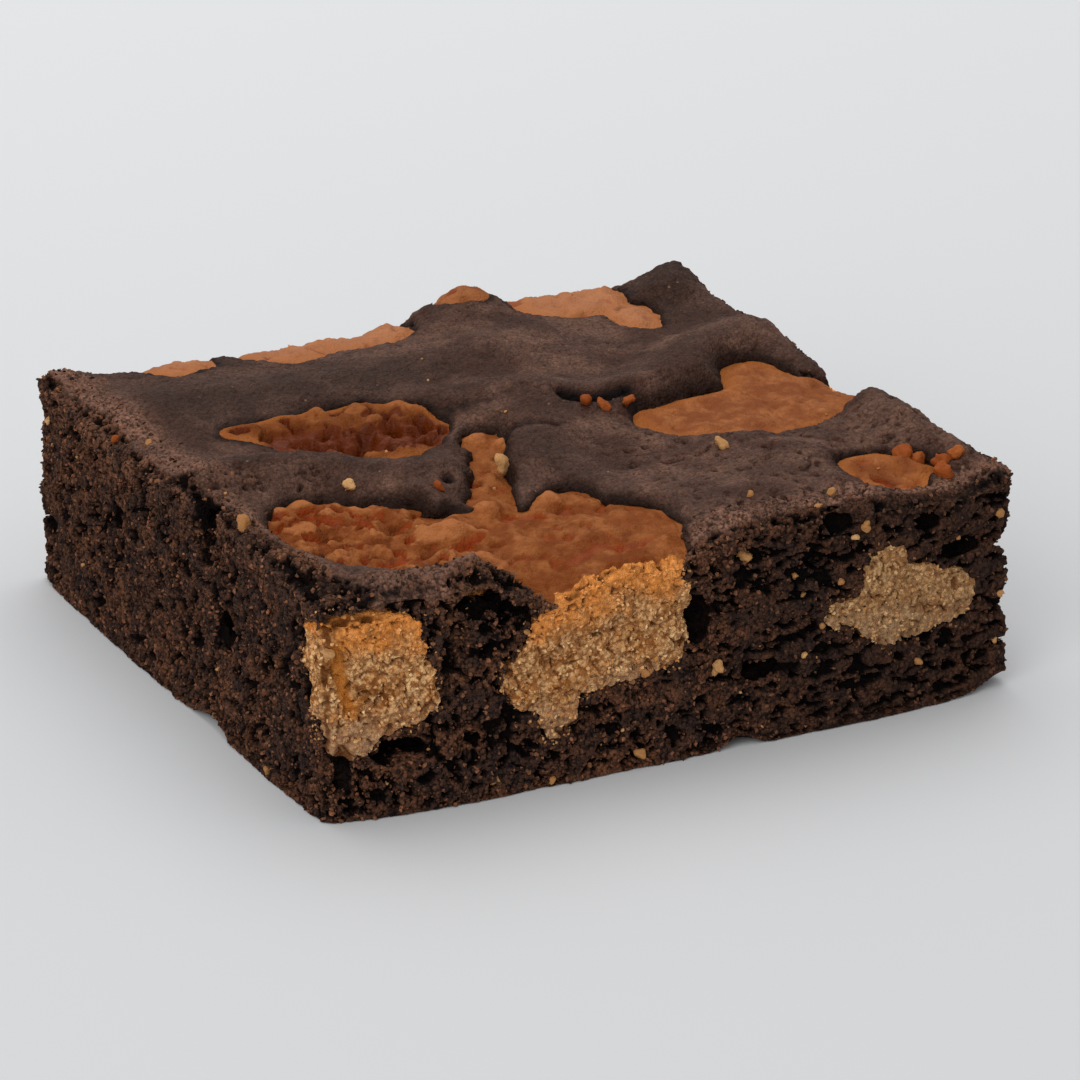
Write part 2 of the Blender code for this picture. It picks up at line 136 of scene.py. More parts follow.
DOUGH = {
    "dough_front": lump(
        tops=[
            (-25.9, -17, 6.4, 9.8, 4, 8),
            (-20.8, -17.6, 4.6, 7.4, 0, 8),
            (-15, -19.6, 3.2, 3.4, 0, 7),
            (-17, -26, 9, 5.4, 0, 8),
            (-6.5, -27.5, 9.4, 9.6, 0, 9),
            (-4.2, -19.5, 3.6, 4.6, -25, 8),
            (-9.3, -14, 2.2, 8.6, -22, 6),
            (-6.2, -6.6, 1.6, 4.2, -22, 6),
            (-4.1, -1.4, 2.3, 3.3, -10, 6),
        ],
        balls=[
            (-8.2, -34.5, 13.9, 8, 8, 5),
            (-13.6, -34.5, 11.2, 5.2, 6, 3.6),
            (-3, -34.5, 15, 3.9, 6, 5.6),
            (-12.4, -35, 7.2, 1.7, 4, 2.8),
        ],
        rise=-0.1,
        pitted=0.35,
        ringed=0.2,
        deep=0.15,
        dull=0.1,
    ),
    "dough_corner": lump(
        balls=[
            (-31.6, -33, 16.4, 5.6, 6.5, 4.3),
            (-30.8, -33.5, 12.6, 6, 6, 4.3),
            (-33, -34, 9.2, 2.6, 4.5, 3.2),
            (-34, -33, 17, 2.6, 3, 3.6),
            (-27.6, -34, 11.4, 3, 4, 2.6),
        ],
    ),
    "dough_left": lump(
        tops=[(-13.9, 5.6, 8.6, 7, -10, 8), (-20.6, 9.8, 5.8, 3, -10, 5)],
        rise=0.4,
        tilt=0.6,
        pitted=1,
        ringed=0.6,
        deep=0.8,
    ),
    "dough_right": lump(
        tops=[
            (23.5, -5, 11, 7, -3, 8),
            (29.2, 1.2, 5, 7, 0, 7),
            (14.6, -3.5, 3.2, 3.4, 0, 6),
            (34, -1.5, 4.5, 5.5, 0, 9),
        ],
        balls=[(35, 0, 13.5, 6, 7, 4.5)],
        rise=0.1,
        pitted=0.15,
        ringed=0.7,
        pale=0.15,
    ),
    "dough_edge": lump(
        tops=[(26, -26, 4.2, 5.2, 0, 5), (29.4, -25.4, 2.8, 3.6, 0, 4)],
        rise=0.2,
        pitted=0.3,
        ringed=0.8,
        pale=0.1,
        deep=0.15,
    ),
    "dough_cut": lump(
        balls=[
            (24.2, -34.5, 11.3, 6.2, 7, 3.9),
            (21.8, -34.5, 14.5, 2.6, 4, 3),
            (28.8, -34.5, 11, 3, 4, 2.7),
            (17.6, -34.5, 11.4, 2.6, 3, 1.4),
        ],
        dull=0.7,
    ),
    "dough_back_left": lump(
        tops=[(-22, 32.5, 3.9, 4.6, 0, 9)],
        balls=[(-22, 34.5, 14, 4.2, 5, 5)],
        rise=0.9,
        pitted=0.3,
        ringed=0.5,
        pale=0.9,
    ),
    "dough_back": lump(
        tops=[(-10, 32.5, 5.6, 5.4, 0, 9), (-2.5, 33, 6.5, 5.6, 0, 8)],
        balls=[(-7, 34.5, 14, 7.2, 6, 4.5)],
        rise=0.5,
        pitted=0.3,
        ringed=0.5,
        pale=0.9,
    ),
    "dough_peak": lump(
        tops=[(10, 33.4, 2.9, 2.6, 0, 6)],
        rise=0.9,
        pitted=0.3,
        ringed=0.3,
        pale=0.5,
        deep=0.2,
    ),
    "dough_back_right": lump(
        tops=[(21.9, 32, 6.4, 6.2, 0, 10), (25.6, 24.5, 2.7, 4.6, 6, 7)],
        balls=[(22, 34.5, 12.5, 6, 6, 4)],
        rise=0.6,
        pitted=0.3,
        ringed=0.5,
        pale=0.9,
        dull=0.2,
    ),
}
WOBBLE = 0.7
WOBBLE_SIZE = 4.0
SHOULDER = 2.1
SEAM_WIDTH = 0.9
SEAM_DEPTH = 0.35
DOUGH_LUMPS = 0.45
DOUGH_LUMP_SIZE = 3.4
CRUST_WAVES = 0.3
CRUST_WAVE_SIZE = 7.0

# Where a cut face lies inside the box of the whole bar: (face, place along it, spread, depth)
BOWS = [
    ("front", -39, 9.0, 1.7),
    ("front", 39, 9.0, 1.6),
    ("left", -34, 16.0, 0.9),
    ("left", -8, 9.0, 0.5),
    ("right", -16, 12.0, 0.5),
    ("back", -39, 9.0, 0.5),
    ("back", 39, 9.0, 1.2),
]
BOW_REACH = 14.0

# Torn hollows in the cut faces: (face, place along it, height, half width, half height, depth)
HOLLOWS = [
    ("front", -20.1, 19.6, 2.6, 1.5, 2.6),
    ("front", -16.5, 17.8, 1.6, 1.4, 1.8),
    ("front", -22.5, 15.2, 1.7, 2.4, 1.9),
    ("front", -23.3, 11.4, 1.6, 1.8, 1.4),
    ("front", -27.9, 6.2, 3.0, 1.9, 2.4),
    ("front", -34.9, 4.9, 1.0, 2.6, 1.4),
    ("front", 1.5, 14.2, 1.6, 2.2, 1.4),
    ("front", 8.3, 7.4, 2.0, 1.0, 1.6),
    ("front", 16.5, 21.4, 1.8, 1.3, 1.5),
    ("front", 26.3, 19.0, 1.5, 1.5, 1.4),
    ("front", 30.7, 16.0, 2.6, 0.9, 1.3),
    ("front", 4.7, 19.0, 2.2, 1.0, 1.1),
    ("left", -7.4, 21.0, 2.3, 2.2, 2.2),
    ("left", -11.6, 11.4, 1.6, 1.6, 1.7),
    ("left", 5.4, 17.4, 1.2, 1.0, 1.0),
    ("left", 13.6, 14.0, 1.6, 1.2, 1.1),
    ("left", 24.4, 18.4, 1.8, 1.2, 1.1),
    ("left", 31.4, 6.6, 1.3, 1.0, 1.0),
    ("left", -30.6, 12.0, 1.2, 2.0, 1.2),
]
HOLLOW_SEED = 7
STRAY_HOLLOWS = 34
# Long grooves between layers of crumb: (face, height, half height, depth)
GROOVES = [
    ("right", 14.4, 1.5, 1.1),
    ("right", 7.6, 1.3, 0.8),
    ("back", 12.5, 2.0, 0.6),
    ("left", 17.6, 1.2, 0.4),
]
CUT_ROUGHNESS = 0.5
CUT_GRAIN = 2.6
CUT_REACH = 4.0

# Nicks along the bottom edges: (face, place along it, half width, height)
NICKS = [
    ("front", 6.4, 1.7, 1.2),
    ("front", 36.0, 3.2, 1.5),
    ("left", -8.5, 3.4, 1.3),
    ("left", 34.0, 2.4, 0.8),
    ("right", -34.0, 4.0, 1.4),
    ("right", 12.0, 4.0, 0.9),
    ("back", -14.0, 5.0, 0.8),
]
FOOT_ROUND = 0.1
NICK_REACH = 1.6
INWARD = {"front": (0, 1), "right": (-1, 0), "back": (0, -1), "left": (1, 0)}
FACES = tuple(INWARD)

# ---------------------------------------------------------------- finer relief, made here

BLOCK_STEP = 0.2
LUMP_VOXEL = 0.35
PIECE_TRIANGLES = 190000
SPLIT_LEVEL = 17.3  # the dark crumb is made as two pieces that meet here
FINE_WOBBLE = 0.22  # how uneven the outlines of the dough are on top
FINE_WOBBLE_SIZE = 2.3
PORE_SIZE = 1.25
PORE_FINE = 0.6
PORE_DEPTH = 1.0
CRUMB_SIZE = 0.62
CRUMB_DEPTH = 0.42
RAG_SIZE = 1.5
RAG = 0.5  # how ragged a lump's edge is where it is cut
SANDY_SIZE = 0.66
SANDY_DEPTH = 0.4
NEAR_DOUGH = 1.1  # how far dough grains are smeared over the dark crumb
SHARP_ANGLE = 75  # edges keener than this are shaded as sharp
GRAIN_SHARP_ANGLE = 30

# Deep holes with steep walls in the cut faces: (face, place along it, height, half width, half height, depth)
CAVITIES = [
    ("front", -20.6, 19.6, 2.0, 1.0, 1.6),
    ("front", -17.6, 18.2, 1.3, 1.1, 2.4),
    ("front", -23.4, 14.2, 0.9, 1.8, 2.0),
    ("front", -20.0, 14.6, 1.1, 0.8, 1.6),
    ("front", -28.3, 6.0, 2.2, 1.4, 2.4),
    ("front", -35.0, 6.6, 0.8, 2.2, 1.6),
    ("front", -36.0, 11.6, 0.9, 1.9, 1.6),
    ("front", 1.7, 13.6, 1.3, 2.2, 1.7),
    ("front", 8.7, 7.4, 2.0, 0.8, 1.8),
    ("front", 16.9, 20.6, 1.3, 0.9, 1.5),
    ("front", 26.8, 18.9, 1.0, 0.7, 1.4),
    ("front", 30.5, 15.7, 2.4, 0.7, 1.6),
    ("front", 6.4, 17.6, 1.0, 0.5, 1.2),
    ("front", 33.6, 3.9, 0.8, 0.6, 1.2),
    ("front", 26.4, 7.8, 0.9, 0.5, 1.2),
    ("front", -26.0, 3.2, 1.0, 0.6, 1.2),
    ("front", 20.5, 4.4, 1.4, 0.5, 1.2),
    ("left", -5.9, 20.9, 1.6, 1.4, 2.6),
    ("left", -6.6, 17.8, 1.2, 1.8, 2.0),
    ("left", -9.4, 14.4, 1.1, 1.3, 1.7),
    ("left", -11.3, 10.9, 1.6, 1.8, 2.2),
    ("left", -2.4, 14.3, 1.0, 0.9, 1.3),
    ("left", 4.9, 12.7, 1.0, 0.8, 1.3),
    ("left", 3.0, 11.0, 1.2, 0.7, 1.3),
    ("left", -2.1, 10.4, 0.9, 0.8, 1.3),
    ("left", 13.7, 13.4, 1.4, 0.8, 1.3),
    ("left", 32.0, 6.4, 1.4, 1.0, 1.3),
    ("left", -18.5, 8.6, 0.9, 0.7, 1.2),
    ("left", -25.0, 12.8, 1.0, 0.8, 1.3),
    ("left", 22.0, 9.5, 1.2, 0.8, 1.2),
    ("right", -12.0, 16.0, 2.0, 0.8, 1.6),
    ("right", 14.0, 9.0, 2.2, 1.0, 1.6),
    ("right", 24.0, 15.5, 1.2, 0.8, 1.4),
    ("back", -14.0, 9.0, 2.0, 1.0, 1.6),
    ("back", 8.0, 14.5, 1.6, 1.0, 1.6),
    ("back", 28.0, 7.0, 1.2, 0.9, 1.4),
]

# Where the crust is torn away and the crumb shows: (points of a path, half width, how fully)
TORN = [
    ([(-21.5, -35.5), (-18, -34.4), (-14.4, -33.8)], 2.3, 1),
    ([(-37, -2), (-36.6, -8)], 2.2, 1),
    ([(-36.6, -8), (-36.2, -20), (-35, -30), (-33, -33)], 2.4, 1),
    ([(1, -35.6), (12, -35), (24, -34.6), (34, -34)], 1.8, 1),
    ([(-37, -2), (-36.8, 14), (-37, 33)], 1.7, 0.9),
    ([(36.6, -30), (37, -12)], 1.3, 1),
    ([(37, 8), (36.8, 30)], 1.0, 1),
    ([(-36, 35), (-27, 35.2)], 0.8, 1),
    ([(15, 35), (16.5, 34)], 1.0, 1),
    ([(-34.5, -3.0), (-30, -4.2), (-24, -5.4)], 1.5, 0.35),
]
# The same for the baked tops of the dough
DOUGH_TORN = [
    ([(-14, -34.8), (-8, -34.2), (2, -34.8)], 1.0, 1),
    ([(37, -6), (37, 6)], 0.8, 1),
    ([(-30, 35), (2, 35)], 0.8, 1),
    ([(18, 35), (28, 35)], 0.8, 1),
]

# Where the crust is darker or lighter than elsewhere, the darker paths partly painted shade on steep sides of
# ridges and lumps, the lighter ones partly painted sheen on high crust: (points of a path, spread, change)
CRUST_TONES_AND_PAINTED_LIGHT = [
    ([(-26, 17), (-4, 17)], 5.0, -0.5),
    ([(-32, 28), (-20, 26)], 6.0, -0.2),
    ([(-30, -1), (-20, -4)], 3.0, -0.3),
    ([(-12, 0), (-12, -6)], 2.5, -0.5),
    ([(0, 22), (12, 16)], 5.0, 0.2),
    ([(10, -12), (24, -18)], 6.0, 0.2),
    ([(30, 24), (34, 32)], 4.0, -0.5),
    ([(-1, -8), (0, -16)], 2.5, -0.3),
]

# Creases and holes in the crust: (points of a path, spread, depth)
CRUST_CREASES = [
    ([(-4.5, 5.6), (3.6, 3.4)], 1.1, 0.3),
    ([(6.6, 2.4), (9.2, 1.6), (12.5, 0.9)], 0.8, 1.1),
    ([(13.2, -1.6), (12.6, -3.4)], 0.6, 0.7),
    ([(-1.4, -2.2), (2.4, -4.0)], 0.7, 0.45),
    ([(-12.6, -10.9), (-12.2, -10.6)], 0.5, 0.8),
    ([(9.0, -15.3), (10.2, -15.3)], 0.4, 0.6),
    ([(5.0, -14.6), (5.6, -14.4)], 0.4, 0.5),
]

# Pits in the baked dough: (x, y, x radius, y radius, depth)
DOUGH_PITS = [
    (-17.4, 4.6, 1.0, 1.4, 1.4),
    (-13.2, 5.4, 1.1, 1.8, 1.7),
    (-10.4, 5.8, 1.0, 1.6, 1.2),
    (-7.2, 5.2, 0.9, 1.6, 1.4),
    (-19.8, 7.6, 1.0, 0.8, 0.9),
    (-16.2, 7.6, 0.9, 0.7, 0.8),
    (-11.8, 8.6, 0.8, 0.7, 0.6),
    (-9.0, 8.2, 0.8, 0.6, 0.6),
    (-27.9, -11.2, 1.3, 0.8, 0.9),
    (-24.2, -10.6, 1.0, 0.7, 0.8),
    (-21.5, -14.0, 1.0, 0.7, 0.7),
    (-19.9, -16.8, 1.0, 0.6, 0.6),
    (-27.9, -17.0, 1.0, 0.6, 0.5),
    (-13.4, -20.4, 1.2, 0.6, 0.5),
    (-15.6, -22.8, 1.4, 0.5, 0.5),
    (-9.6, -18.2, 0.9, 0.6, 0.5),
    (-2.4, -22.6, 1.1, 0.6, 0.4),
    (-26.2, -9.6, 1.7, 1.0, 1.0),
    (-25.7, -12.8, 0.9, 0.7, 0.7),
    (-23.3, -14.6, 1.1, 0.8, 0.8),
    (-26.9, -19.0, 0.9, 0.7, 0.8),
    (-20.9, -19.6, 1.0, 0.8, 0.7),
    (-18.2, -18.5, 0.9, 0.7, 0.7),
    (-30.4, -12.5, 1.2, 1.1, 0.8),
    (-29.4, -9.4, 1.2, 0.8, 0.8),
    (-19.3, 4.6, 1.7, 1.6, 1.7),
    (-15.6, 2.8, 1.8, 1.5, 1.9),
    (-14.3, 6.6, 1.0, 0.8, 0.9),
    (-11.6, 2.2, 1.7, 1.5, 1.6),
    (-8.2, 2.6, 1.3, 1.3, 1.4),
    (-8.9, 4.6, 0.9, 0.8, 0.9),
    (-17.4, 7.4, 0.8, 0.6, 0.6),
    (-9.0, -9.4, 1.0, 1.3, 0.7),
    (25.2, -27.4, 1.0, 1.2, 0.7),
]
# Knobs that stand on it: (x, y, radius, rise)
DOUGH_KNOBS = [
    (-16.8, -20.6, 1.2, 1.0),
    (-28.2, -14.6, 0.9, 0.4),
    (-22.6, -11.6, 1.4, 0.7),
    (-26.4, -7.6, 1.3, 0.7),
    (-22.8, -16.6, 1.1, 0.7),
    (-18.9, -20.6, 1.4, 0.6),
    (-4.9, -16.9, 1.3, 0.7),
    (-8.2, 9.3, 1.3, 0.8),
    (-16.0, 11.4, 0.9, 0.7),
    (-12.4, 9.6, 2.0, 0.5),
    (-15.2, 5.6, 1.0, 0.6),
    (-9.0, 4.4, 0.8, 0.5),
    (-17.8, 9.8, 1.0, 0.6),
    (-6.6, 7.6, 0.9, 0.7),
    (-25.2, -11.4, 0.9, 0.6),
    (-29.0, -8.2, 0.9, 0.6),
    (-20.6, -12.6, 0.9, 0.7),
    (-11.6, -16.4, 1.0, 0.7),
    (-14.4, -21.6, 0.9, 0.5),
    (-2.6, -2.2, 0.9, 0.8),
    (-4.6, 0.2, 1.4, 0.5),
]
# Folds in it: (points of a path, spread, depth)
DOUGH_CREASES = [
    ([(-25.0, -24.9), (-20.5, -24.2), (-15.2, -22.4)], 0.7, 0.7),
    ([(-10.6, -19.0), (-7.4, -20.4)], 0.6, 0.4),
    ([(-9.4, -30.6), (-5.2, -29.2), (-1.0, -30.0)], 0.9, 0.3),
    ([(-20.6, 6.6), (-15.6, 4.0), (-8.4, 3.6)], 2.6, 0.8),
]
# A crack in the corner lump's cut: (points of a path up the front face, spread, depth)
DOUGH_CRACKS = [([(-34.4, 17.0), (-34.0, 14.6), (-33.6, 12.0), (-33.0, 10.6)], 0.6, 0.3)]

# Crumbs of dough that lie on the bar: (face or "top", place along it or x, height or y, size)
CRUMBS = [
    ("top", -34.9, -14.0, 2.1),
    ("top", -33.7, 11.5, 0.8),
    ("left", -21.3, 1.0, 1.0),
    ("front", -18.8, 1.5, 1.2),
    ("front", -13.4, 0.6, 0.8),
    ("front", -4.3, 1.6, 1.3),
    ("top", -5.5, -8.8, 2.0),
    ("top", 14.4, -15.7, 1.5),
    ("top", 10.2, -29.0, 0.8),
    ("top", 17.7, -31.1, 1.0),
    ("top", 15.3, -32.8, 1.0),
    ("front", 19.5, 20.1, 1.2),
    ("front", 18.4, 19.2, 0.8),
    ("front", 7.0, 18.9, 1.8),
    ("front", 12.4, 16.0, 0.8),
    ("front", 16.9, 14.9, 0.8),
    ("front", 13.3, 13.9, 0.7),
    ("front", 15.0, 10.9, 0.7),
    ("front", 12.9, 8.3, 0.9),
    ("front", 3.6, 9.0, 1.4),
    ("front", 25.5, 5.2, 0.9),
    ("front", 30.0, 16.8, 0.7),
    ("front", 35.2, 18.1, 1.0),
    ("front", 35.2, 9.9, 0.8),
    ("front", 35.0, 5.1, 0.7),
    ("front", -15.9, 15.8, 1.2),
    ("front", -4.1, 9.6, 1.1),
    ("front", -35.0, 16.9, 1.1),
    ("left", -9.7, 11.3, 0.6),
    ("left", 32.5, 17.5, 0.9),
    ("top", -21.5, -8.1, 1.6),
    ("top", -33.0, -5.0, 0.6),
    ("front", -29.5, 2.9, 0.7),
]
# Bits of browned dough baked into the crust: (face or "top", x, y, size)
BAKED_BITS = [
    ("top", 30.3, -22.9, 2.2),
    ("top", 31.4, -23.6, 2.0),
    ("top", 8.1, 0.8, 1.7),
    ("top", 9.2, -0.9, 1.4),
    ("top", 12.0, -0.4, 1.3),
    ("top", 32.4, -26.9, 2.2),
    ("top", 33.5, -27.4, 1.7),
    ("top", 30.6, -30.0, 2.0),
    ("top", 31.0, -29.0, 1.4),
    ("top", -36.0, 14.5, 1.0),
    ("top", -14.6, -13.2, 1.2),
]
SPECKS = 70  # smaller crumbs, strewn over the whole bar
SPECK_SIZE = (0.2, 0.5)
SPECK_SEED = 5
CRUMB_RADII = ((0.35, 0.6), (0.3, 0.5), (0.28, 0.42))  # a crumb's three radii, as shares of its size

# The finishes of what lies loose: (darkest, lightest)
LOOSE_FINISHES = {
    "loose_crumb": ((0.020, 0.010, 0.007), (0.310, 0.125, 0.060)),
    "loose_dough": ((0.54, 0.22, 0.058), (0.98, 0.68, 0.35)),
    "stray_dough": ((0.38, 0.17, 0.055), (0.66, 0.38, 0.16)),
    "browned_dough": ((0.27, 0.060, 0.010), (0.55, 0.175, 0.045)),
}
# Fine grains: (piece, what they lie on, attribute that says where, number to a square millimetre,
# smallest and largest size, seed, finish, slot)
GRAINS = [
    ("crumb_grains", "crumb", "grain", 1.3, 0.15, 0.34, 1, "loose_crumb", "chocolate"),
    ("crumb_clumps", "crumb", "grain", 0.8, 0.25, 0.58, 31, "loose_crumb", "chocolate"),
    ("dough_grains", "dough", "grain", 1.6, 0.18, 0.46, 11, "loose_dough", "cookie"),
    ("smeared_grains", "crumb", "sand", 1.4, 0.16, 0.36, 51, "stray_dough", "cookie"),
]
GRAIN_DENT = 0.36  # how far noise pulls a grain out of round
GRAIN_DENT_SIZE = 0.25
FULL_TURN = 6.28


# ---------------------------------------------------------------- small helpers


def step_up(low, high, value):
    """0 below `low`, 1 above `high`, and smooth between them."""
    share = np.clip((value - low) / (high - low), 0, 1)
    return share * share * (3 - 2 * share)


def bump(distance, spread):
    return np.exp(-((distance / spread) ** 2))


def perlin(points, size, seed=0.0):
    """Smooth noise at each row of points, with features about `size` across, within about -1 to 1."""
    return np.array([noise.noise(p) for p in (points / size + seed).tolist()])


def cells(points, size, seed=0.0):
    """Distance to the nearest of many strewn points, 0 at one and about 1 between them."""
    basis = {"noise_basis": "VORONOI_F1"}
    return np.array([noise.noise(p, **basis) for p in (points / size + seed).tolist()]) * 0.5 + 0.5


def warped(points, size, amount):
    """The points pushed about by smooth noise, so that a pattern worked out from them is less regular."""
    return points + amount * np.array([noise.noise_vector(p) for p in (points / size).tolist()])


def plan(x, y, height=0.0):
    return np.column_stack((x, y, np.full(len(x), height)))


def get_points(mesh):
    flat = np.empty(3 * len(mesh.vertices), np.float32)
    mesh.vertices.foreach_get("co", flat)
    return flat.reshape(-1, 3).astype(float) / MM


def set_points(mesh, points):
    mesh.vertices.foreach_set("co", (points * MM).astype(np.float32).ravel())
    mesh.update()


def get_normals(mesh):
    flat = np.empty(3 * len(mesh.vertices), np.float32)
    mesh.vertex_normals.foreach_get("vector", flat)
    return flat.reshape(-1, 3).astype(float)


def set_attribute(mesh, name, values):
    mesh.attributes.new(name, "FLOAT", "POINT").data.foreach_set("value", np.asarray(values, np.float32))


def new_mesh(name, bm):
    mesh = bpy.data.meshes.new(name)
    bm.to_mesh(mesh)
    bm.free()
    return mesh


def new_object(name, mesh, collection=None):
    obj = bpy.data.objects.new(name, mesh)
    (collection or bpy.context.scene.collection).objects.link(obj)
    return obj


def applied(obj):
    """The mesh that the object's modifiers make, with the object itself removed."""
    bpy.context.view_layer.update()
    graph = bpy.context.evaluated_depsgraph_get()
    mesh = bpy.data.meshes.new_from_object(obj.evaluated_get(graph))
    bpy.data.objects.remove(obj)
    return mesh


def thinned(mesh, triangles):
    """The mesh brought down to about that many triangles."""
    mesh.calc_loop_triangles()
    if len(mesh.loop_triangles) <= triangles:
        return mesh
    obj = new_object("thinned", mesh)
    thin = obj.modifiers.new("Thin", "DECIMATE")
    thin.ratio = triangles / len(mesh.loop_triangles)
    return applied(obj)


# ---------------------------------------------------------------- the top's heights


def path_distance(x, y, path):
    """Distance from each (x, y) to a path of straight stretches, or to its one point."""
    nearest = np.hypot(x - path[0][0], y - path[0][1])
    for (from_x, from_y), (to_x, to_y) in zip(path, path[1:]):
        along_x, along_y = to_x - from_x, to_y - from_y
        share = ((x - from_x) * along_x + (y - from_y) * along_y) / (along_x**2 + along_y**2)
        share = np.clip(share, 0, 1)
        nearest = np.minimum(nearest, np.hypot(x - from_x - share * along_x, y - from_y - share * along_y))
    return nearest


def total_rise(x, y, features):
    return sum(rise * bump(path_distance(x, y, path), spread) for path, spread, rise in features)


def ellipse_distance(x, y, patch):
    """Roughly how far each (x, y) is outside the patch's outline, negative inside it."""
    cx, cy, rx, ry, turn, _ = patch
    angle = math.radians(-turn)
    dx, dy = x - cx, y - cy
    u = (dx * math.cos(angle) - dy * math.sin(angle)) / rx
    v = (dx * math.sin(angle) + dy * math.cos(angle)) / ry
    scaled = np.hypot(u, v)
    steepness = np.hypot(u / rx, v / ry)
    return np.where(steepness < 1e-6, -min(rx, ry), scaled * (scaled - 1) / np.maximum(steepness, 1e-6))


def wobble(x, y):
    fine = FINE_WOBBLE * (perlin(plan(x, y), FINE_WOBBLE_SIZE, 6) + 0.5 * perlin(plan(x, y), 0.8, 7))
    return WOBBLE * perlin(plan(x / WOBBLE_SIZE, y / WOBBLE_SIZE, 3.1), 1) + fine


def nearest_dough(x, y):
    """(distance outside the nearest dough outline, how high that lump stands, how pitted it is)."""
    found = [(ellipse_distance(x, y, patch), made) for made in DOUGH.values() for patch in made["tops"]]
    distances = np.array([distance for distance, _ in found])
    nearest = distances.argmin(axis=0)

    def of_nearest(value):
        return np.array([value(made) for _, made in found])[nearest]

    middle, reach = of_nearest(lambda made: made["tops"][0][1]), of_nearest(lambda made: made["tops"][0][3])
    tilt = of_nearest(lambda made: made["tilt"]) * np.clip((y - middle) / reach, -1, 1)
    rise = of_nearest(lambda made: made["rise"]) + tilt
    return distances.min(axis=0) - wobble(x, y), rise, of_nearest(lambda made: made["pitted"])


def ground_height(x, y):
    return GROUND + total_rise(x, y, SWELLS)


def dough_height(x, y, rise, inside):
    lumps = DOUGH_LUMPS * perlin(plan(x / DOUGH_LUMP_SIZE, y / DOUGH_LUMP_SIZE, 8.4), 1)
    return ground_height(x, y) + rise + lumps - SEAM_DEPTH * bump(inside, SEAM_WIDTH)


def crust_height(x, y):
    ripple = CRUST_WAVES * perlin(plan(x / CRUST_WAVE_SIZE, y / CRUST_WAVE_SIZE, 1.7), 1)
    return ground_height(x, y) + CRUST_RISE + total_rise(x, y, RIDGES) + ripple


def edge_drop(x, y):
    edge = np.minimum(LENGTH / 2 - abs(x), WIDTH / 2 - abs(y))
    return TOP_DROP * bump(np.maximum(edge, 0), TOP_ROLL)


def dough_top(x, y):
    """Height of the baked dough, carried on under the batter round it."""
    distance, rise, _ = nearest_dough(x, y)
    return dough_height(x, y, rise, np.maximum(-distance, 0)) - edge_drop(x, y)


def batter_top(x, y):
    """Height of the crust, which rounds down to the dough beside it."""
    distance, rise, _ = nearest_dough(x, y)
    dough = dough_height(x, y, rise, np.maximum(-distance, 0))
    share = np.clip(distance / SHOULDER, 0, 1)
    round_up = np.sqrt(1 - (1 - share) ** 2)
    return dough + (crust_height(x, y) - dough) * round_up - edge_drop(x, y)


# ---------------------------------------------------------------- the cut faces


def stray_hollows():
    """Small hollows strewn over the four cut faces by a seeded draw."""
    draw = random.Random(HOLLOW_SEED)
    made = []
    for count in range(STRAY_HOLLOWS):
        face = FACES[count % len(FACES)]
        half = (LENGTH if face in ("front", "back") else WIDTH) / 2
        place = draw.uniform(4 - half, half - 4), draw.uniform(3, GROUND - 3)
        made.append((face, *place, draw.uniform(1.2, 2.4), draw.uniform(0.8, 1.6), draw.uniform(0.6, 1.4)))
    return made


ALL_HOLLOWS = HOLLOWS + stray_hollows()


def face_relief(face, along, z):
    """How far a cut face is torn inwards at each place along it and height."""
    seed = 10.0 * FACES.index(face)
    rough = perlin(plan(along / CUT_GRAIN, z / CUT_GRAIN, seed), 1)
    broad = perlin(plan(along / (4 * CUT_GRAIN), z / (4 * CUT_GRAIN), seed + 5), 1)
    depth = CUT_ROUGHNESS * (0.6 * abs(rough) + 0.9 * abs(broad))
    for name, place, height, half_width, half_height, deep in ALL_HOLLOWS:
        if name == face:
            depth += deep * bump(np.hypot((along - place) / half_width, (z - height) / half_height), 0.8)
    for name, height, half_height, deep in GROOVES:
        if name == face:
            depth += deep * bump(z - height, half_height)
    return depth


def face_bow(face, along):
    return sum(depth * bump(along - place, spread) for name, place, spread, depth in BOWS if name == face)


def foot_lift(face, along):
    nicks = (high * bump(along - place, half) for name, place, half, high in NICKS if name == face)
    return FOOT_ROUND + sum(nicks)


def from_faces(x, y):
    """For each face, how far each point is inside the bar's box there, and its place along the face."""
    return {
        "front": (WIDTH / 2 + y, x),
        "back": (WIDTH / 2 - y, x),
        "left": (LENGTH / 2 + x, y),
        "right": (LENGTH / 2 - x, y),
    }


def rounded_corners(x, y):
    inner_x, inner_y = LENGTH / 2 - CORNER_RADIUS, WIDTH / 2 - CORNER_RADIUS
    over_x, over_y = abs(x) - inner_x, abs(y) - inner_y
    corner = (over_x > 0) & (over_y > 0)
    pull = np.where(corner, np.maximum(over_x, over_y) / np.maximum(np.hypot(over_x, over_y), 1e-9), 1)
    round_x = np.where(corner, np.copysign(inner_x + over_x * pull, x), x)
    round_y = np.where(corner, np.copysign(inner_y + over_y * pull, y), y)
    return round_x, round_y


def shaped(block, top):
    """Block points, each -0.5 to 0.5 of the bar's size, moved to the bar's broad form under that top."""
    x, y, share = block[:, 0] * LENGTH, block[:, 1] * WIDTH, block[:, 2] + 0.5
    z = share * top(x, y)
    lift = np.zeros(len(x))
    moved = np.column_stack((*rounded_corners(x, y), z))
    for face, (far, along) in from_faces(x, y).items():
        inward = np.array(INWARD[face])
        near = far < BOW_REACH
        depth = face_bow(face, along[near]) * (1 - far[near] / BOW_REACH)
        moved[near, :2] += depth[:, None] * inward
        near = far < CUT_REACH
        depth = face_relief(face, along[near], z[near]) * (1 - far[near] / CUT_REACH)
        moved[near, :2] += depth[:, None] * inward
        raised = foot_lift(face, along[near]) * bump(far[near], NICK_REACH) * (1 - share[near])
        lift[near] = np.maximum(lift[near], raised)
    moved[:, 2] += lift
    return moved


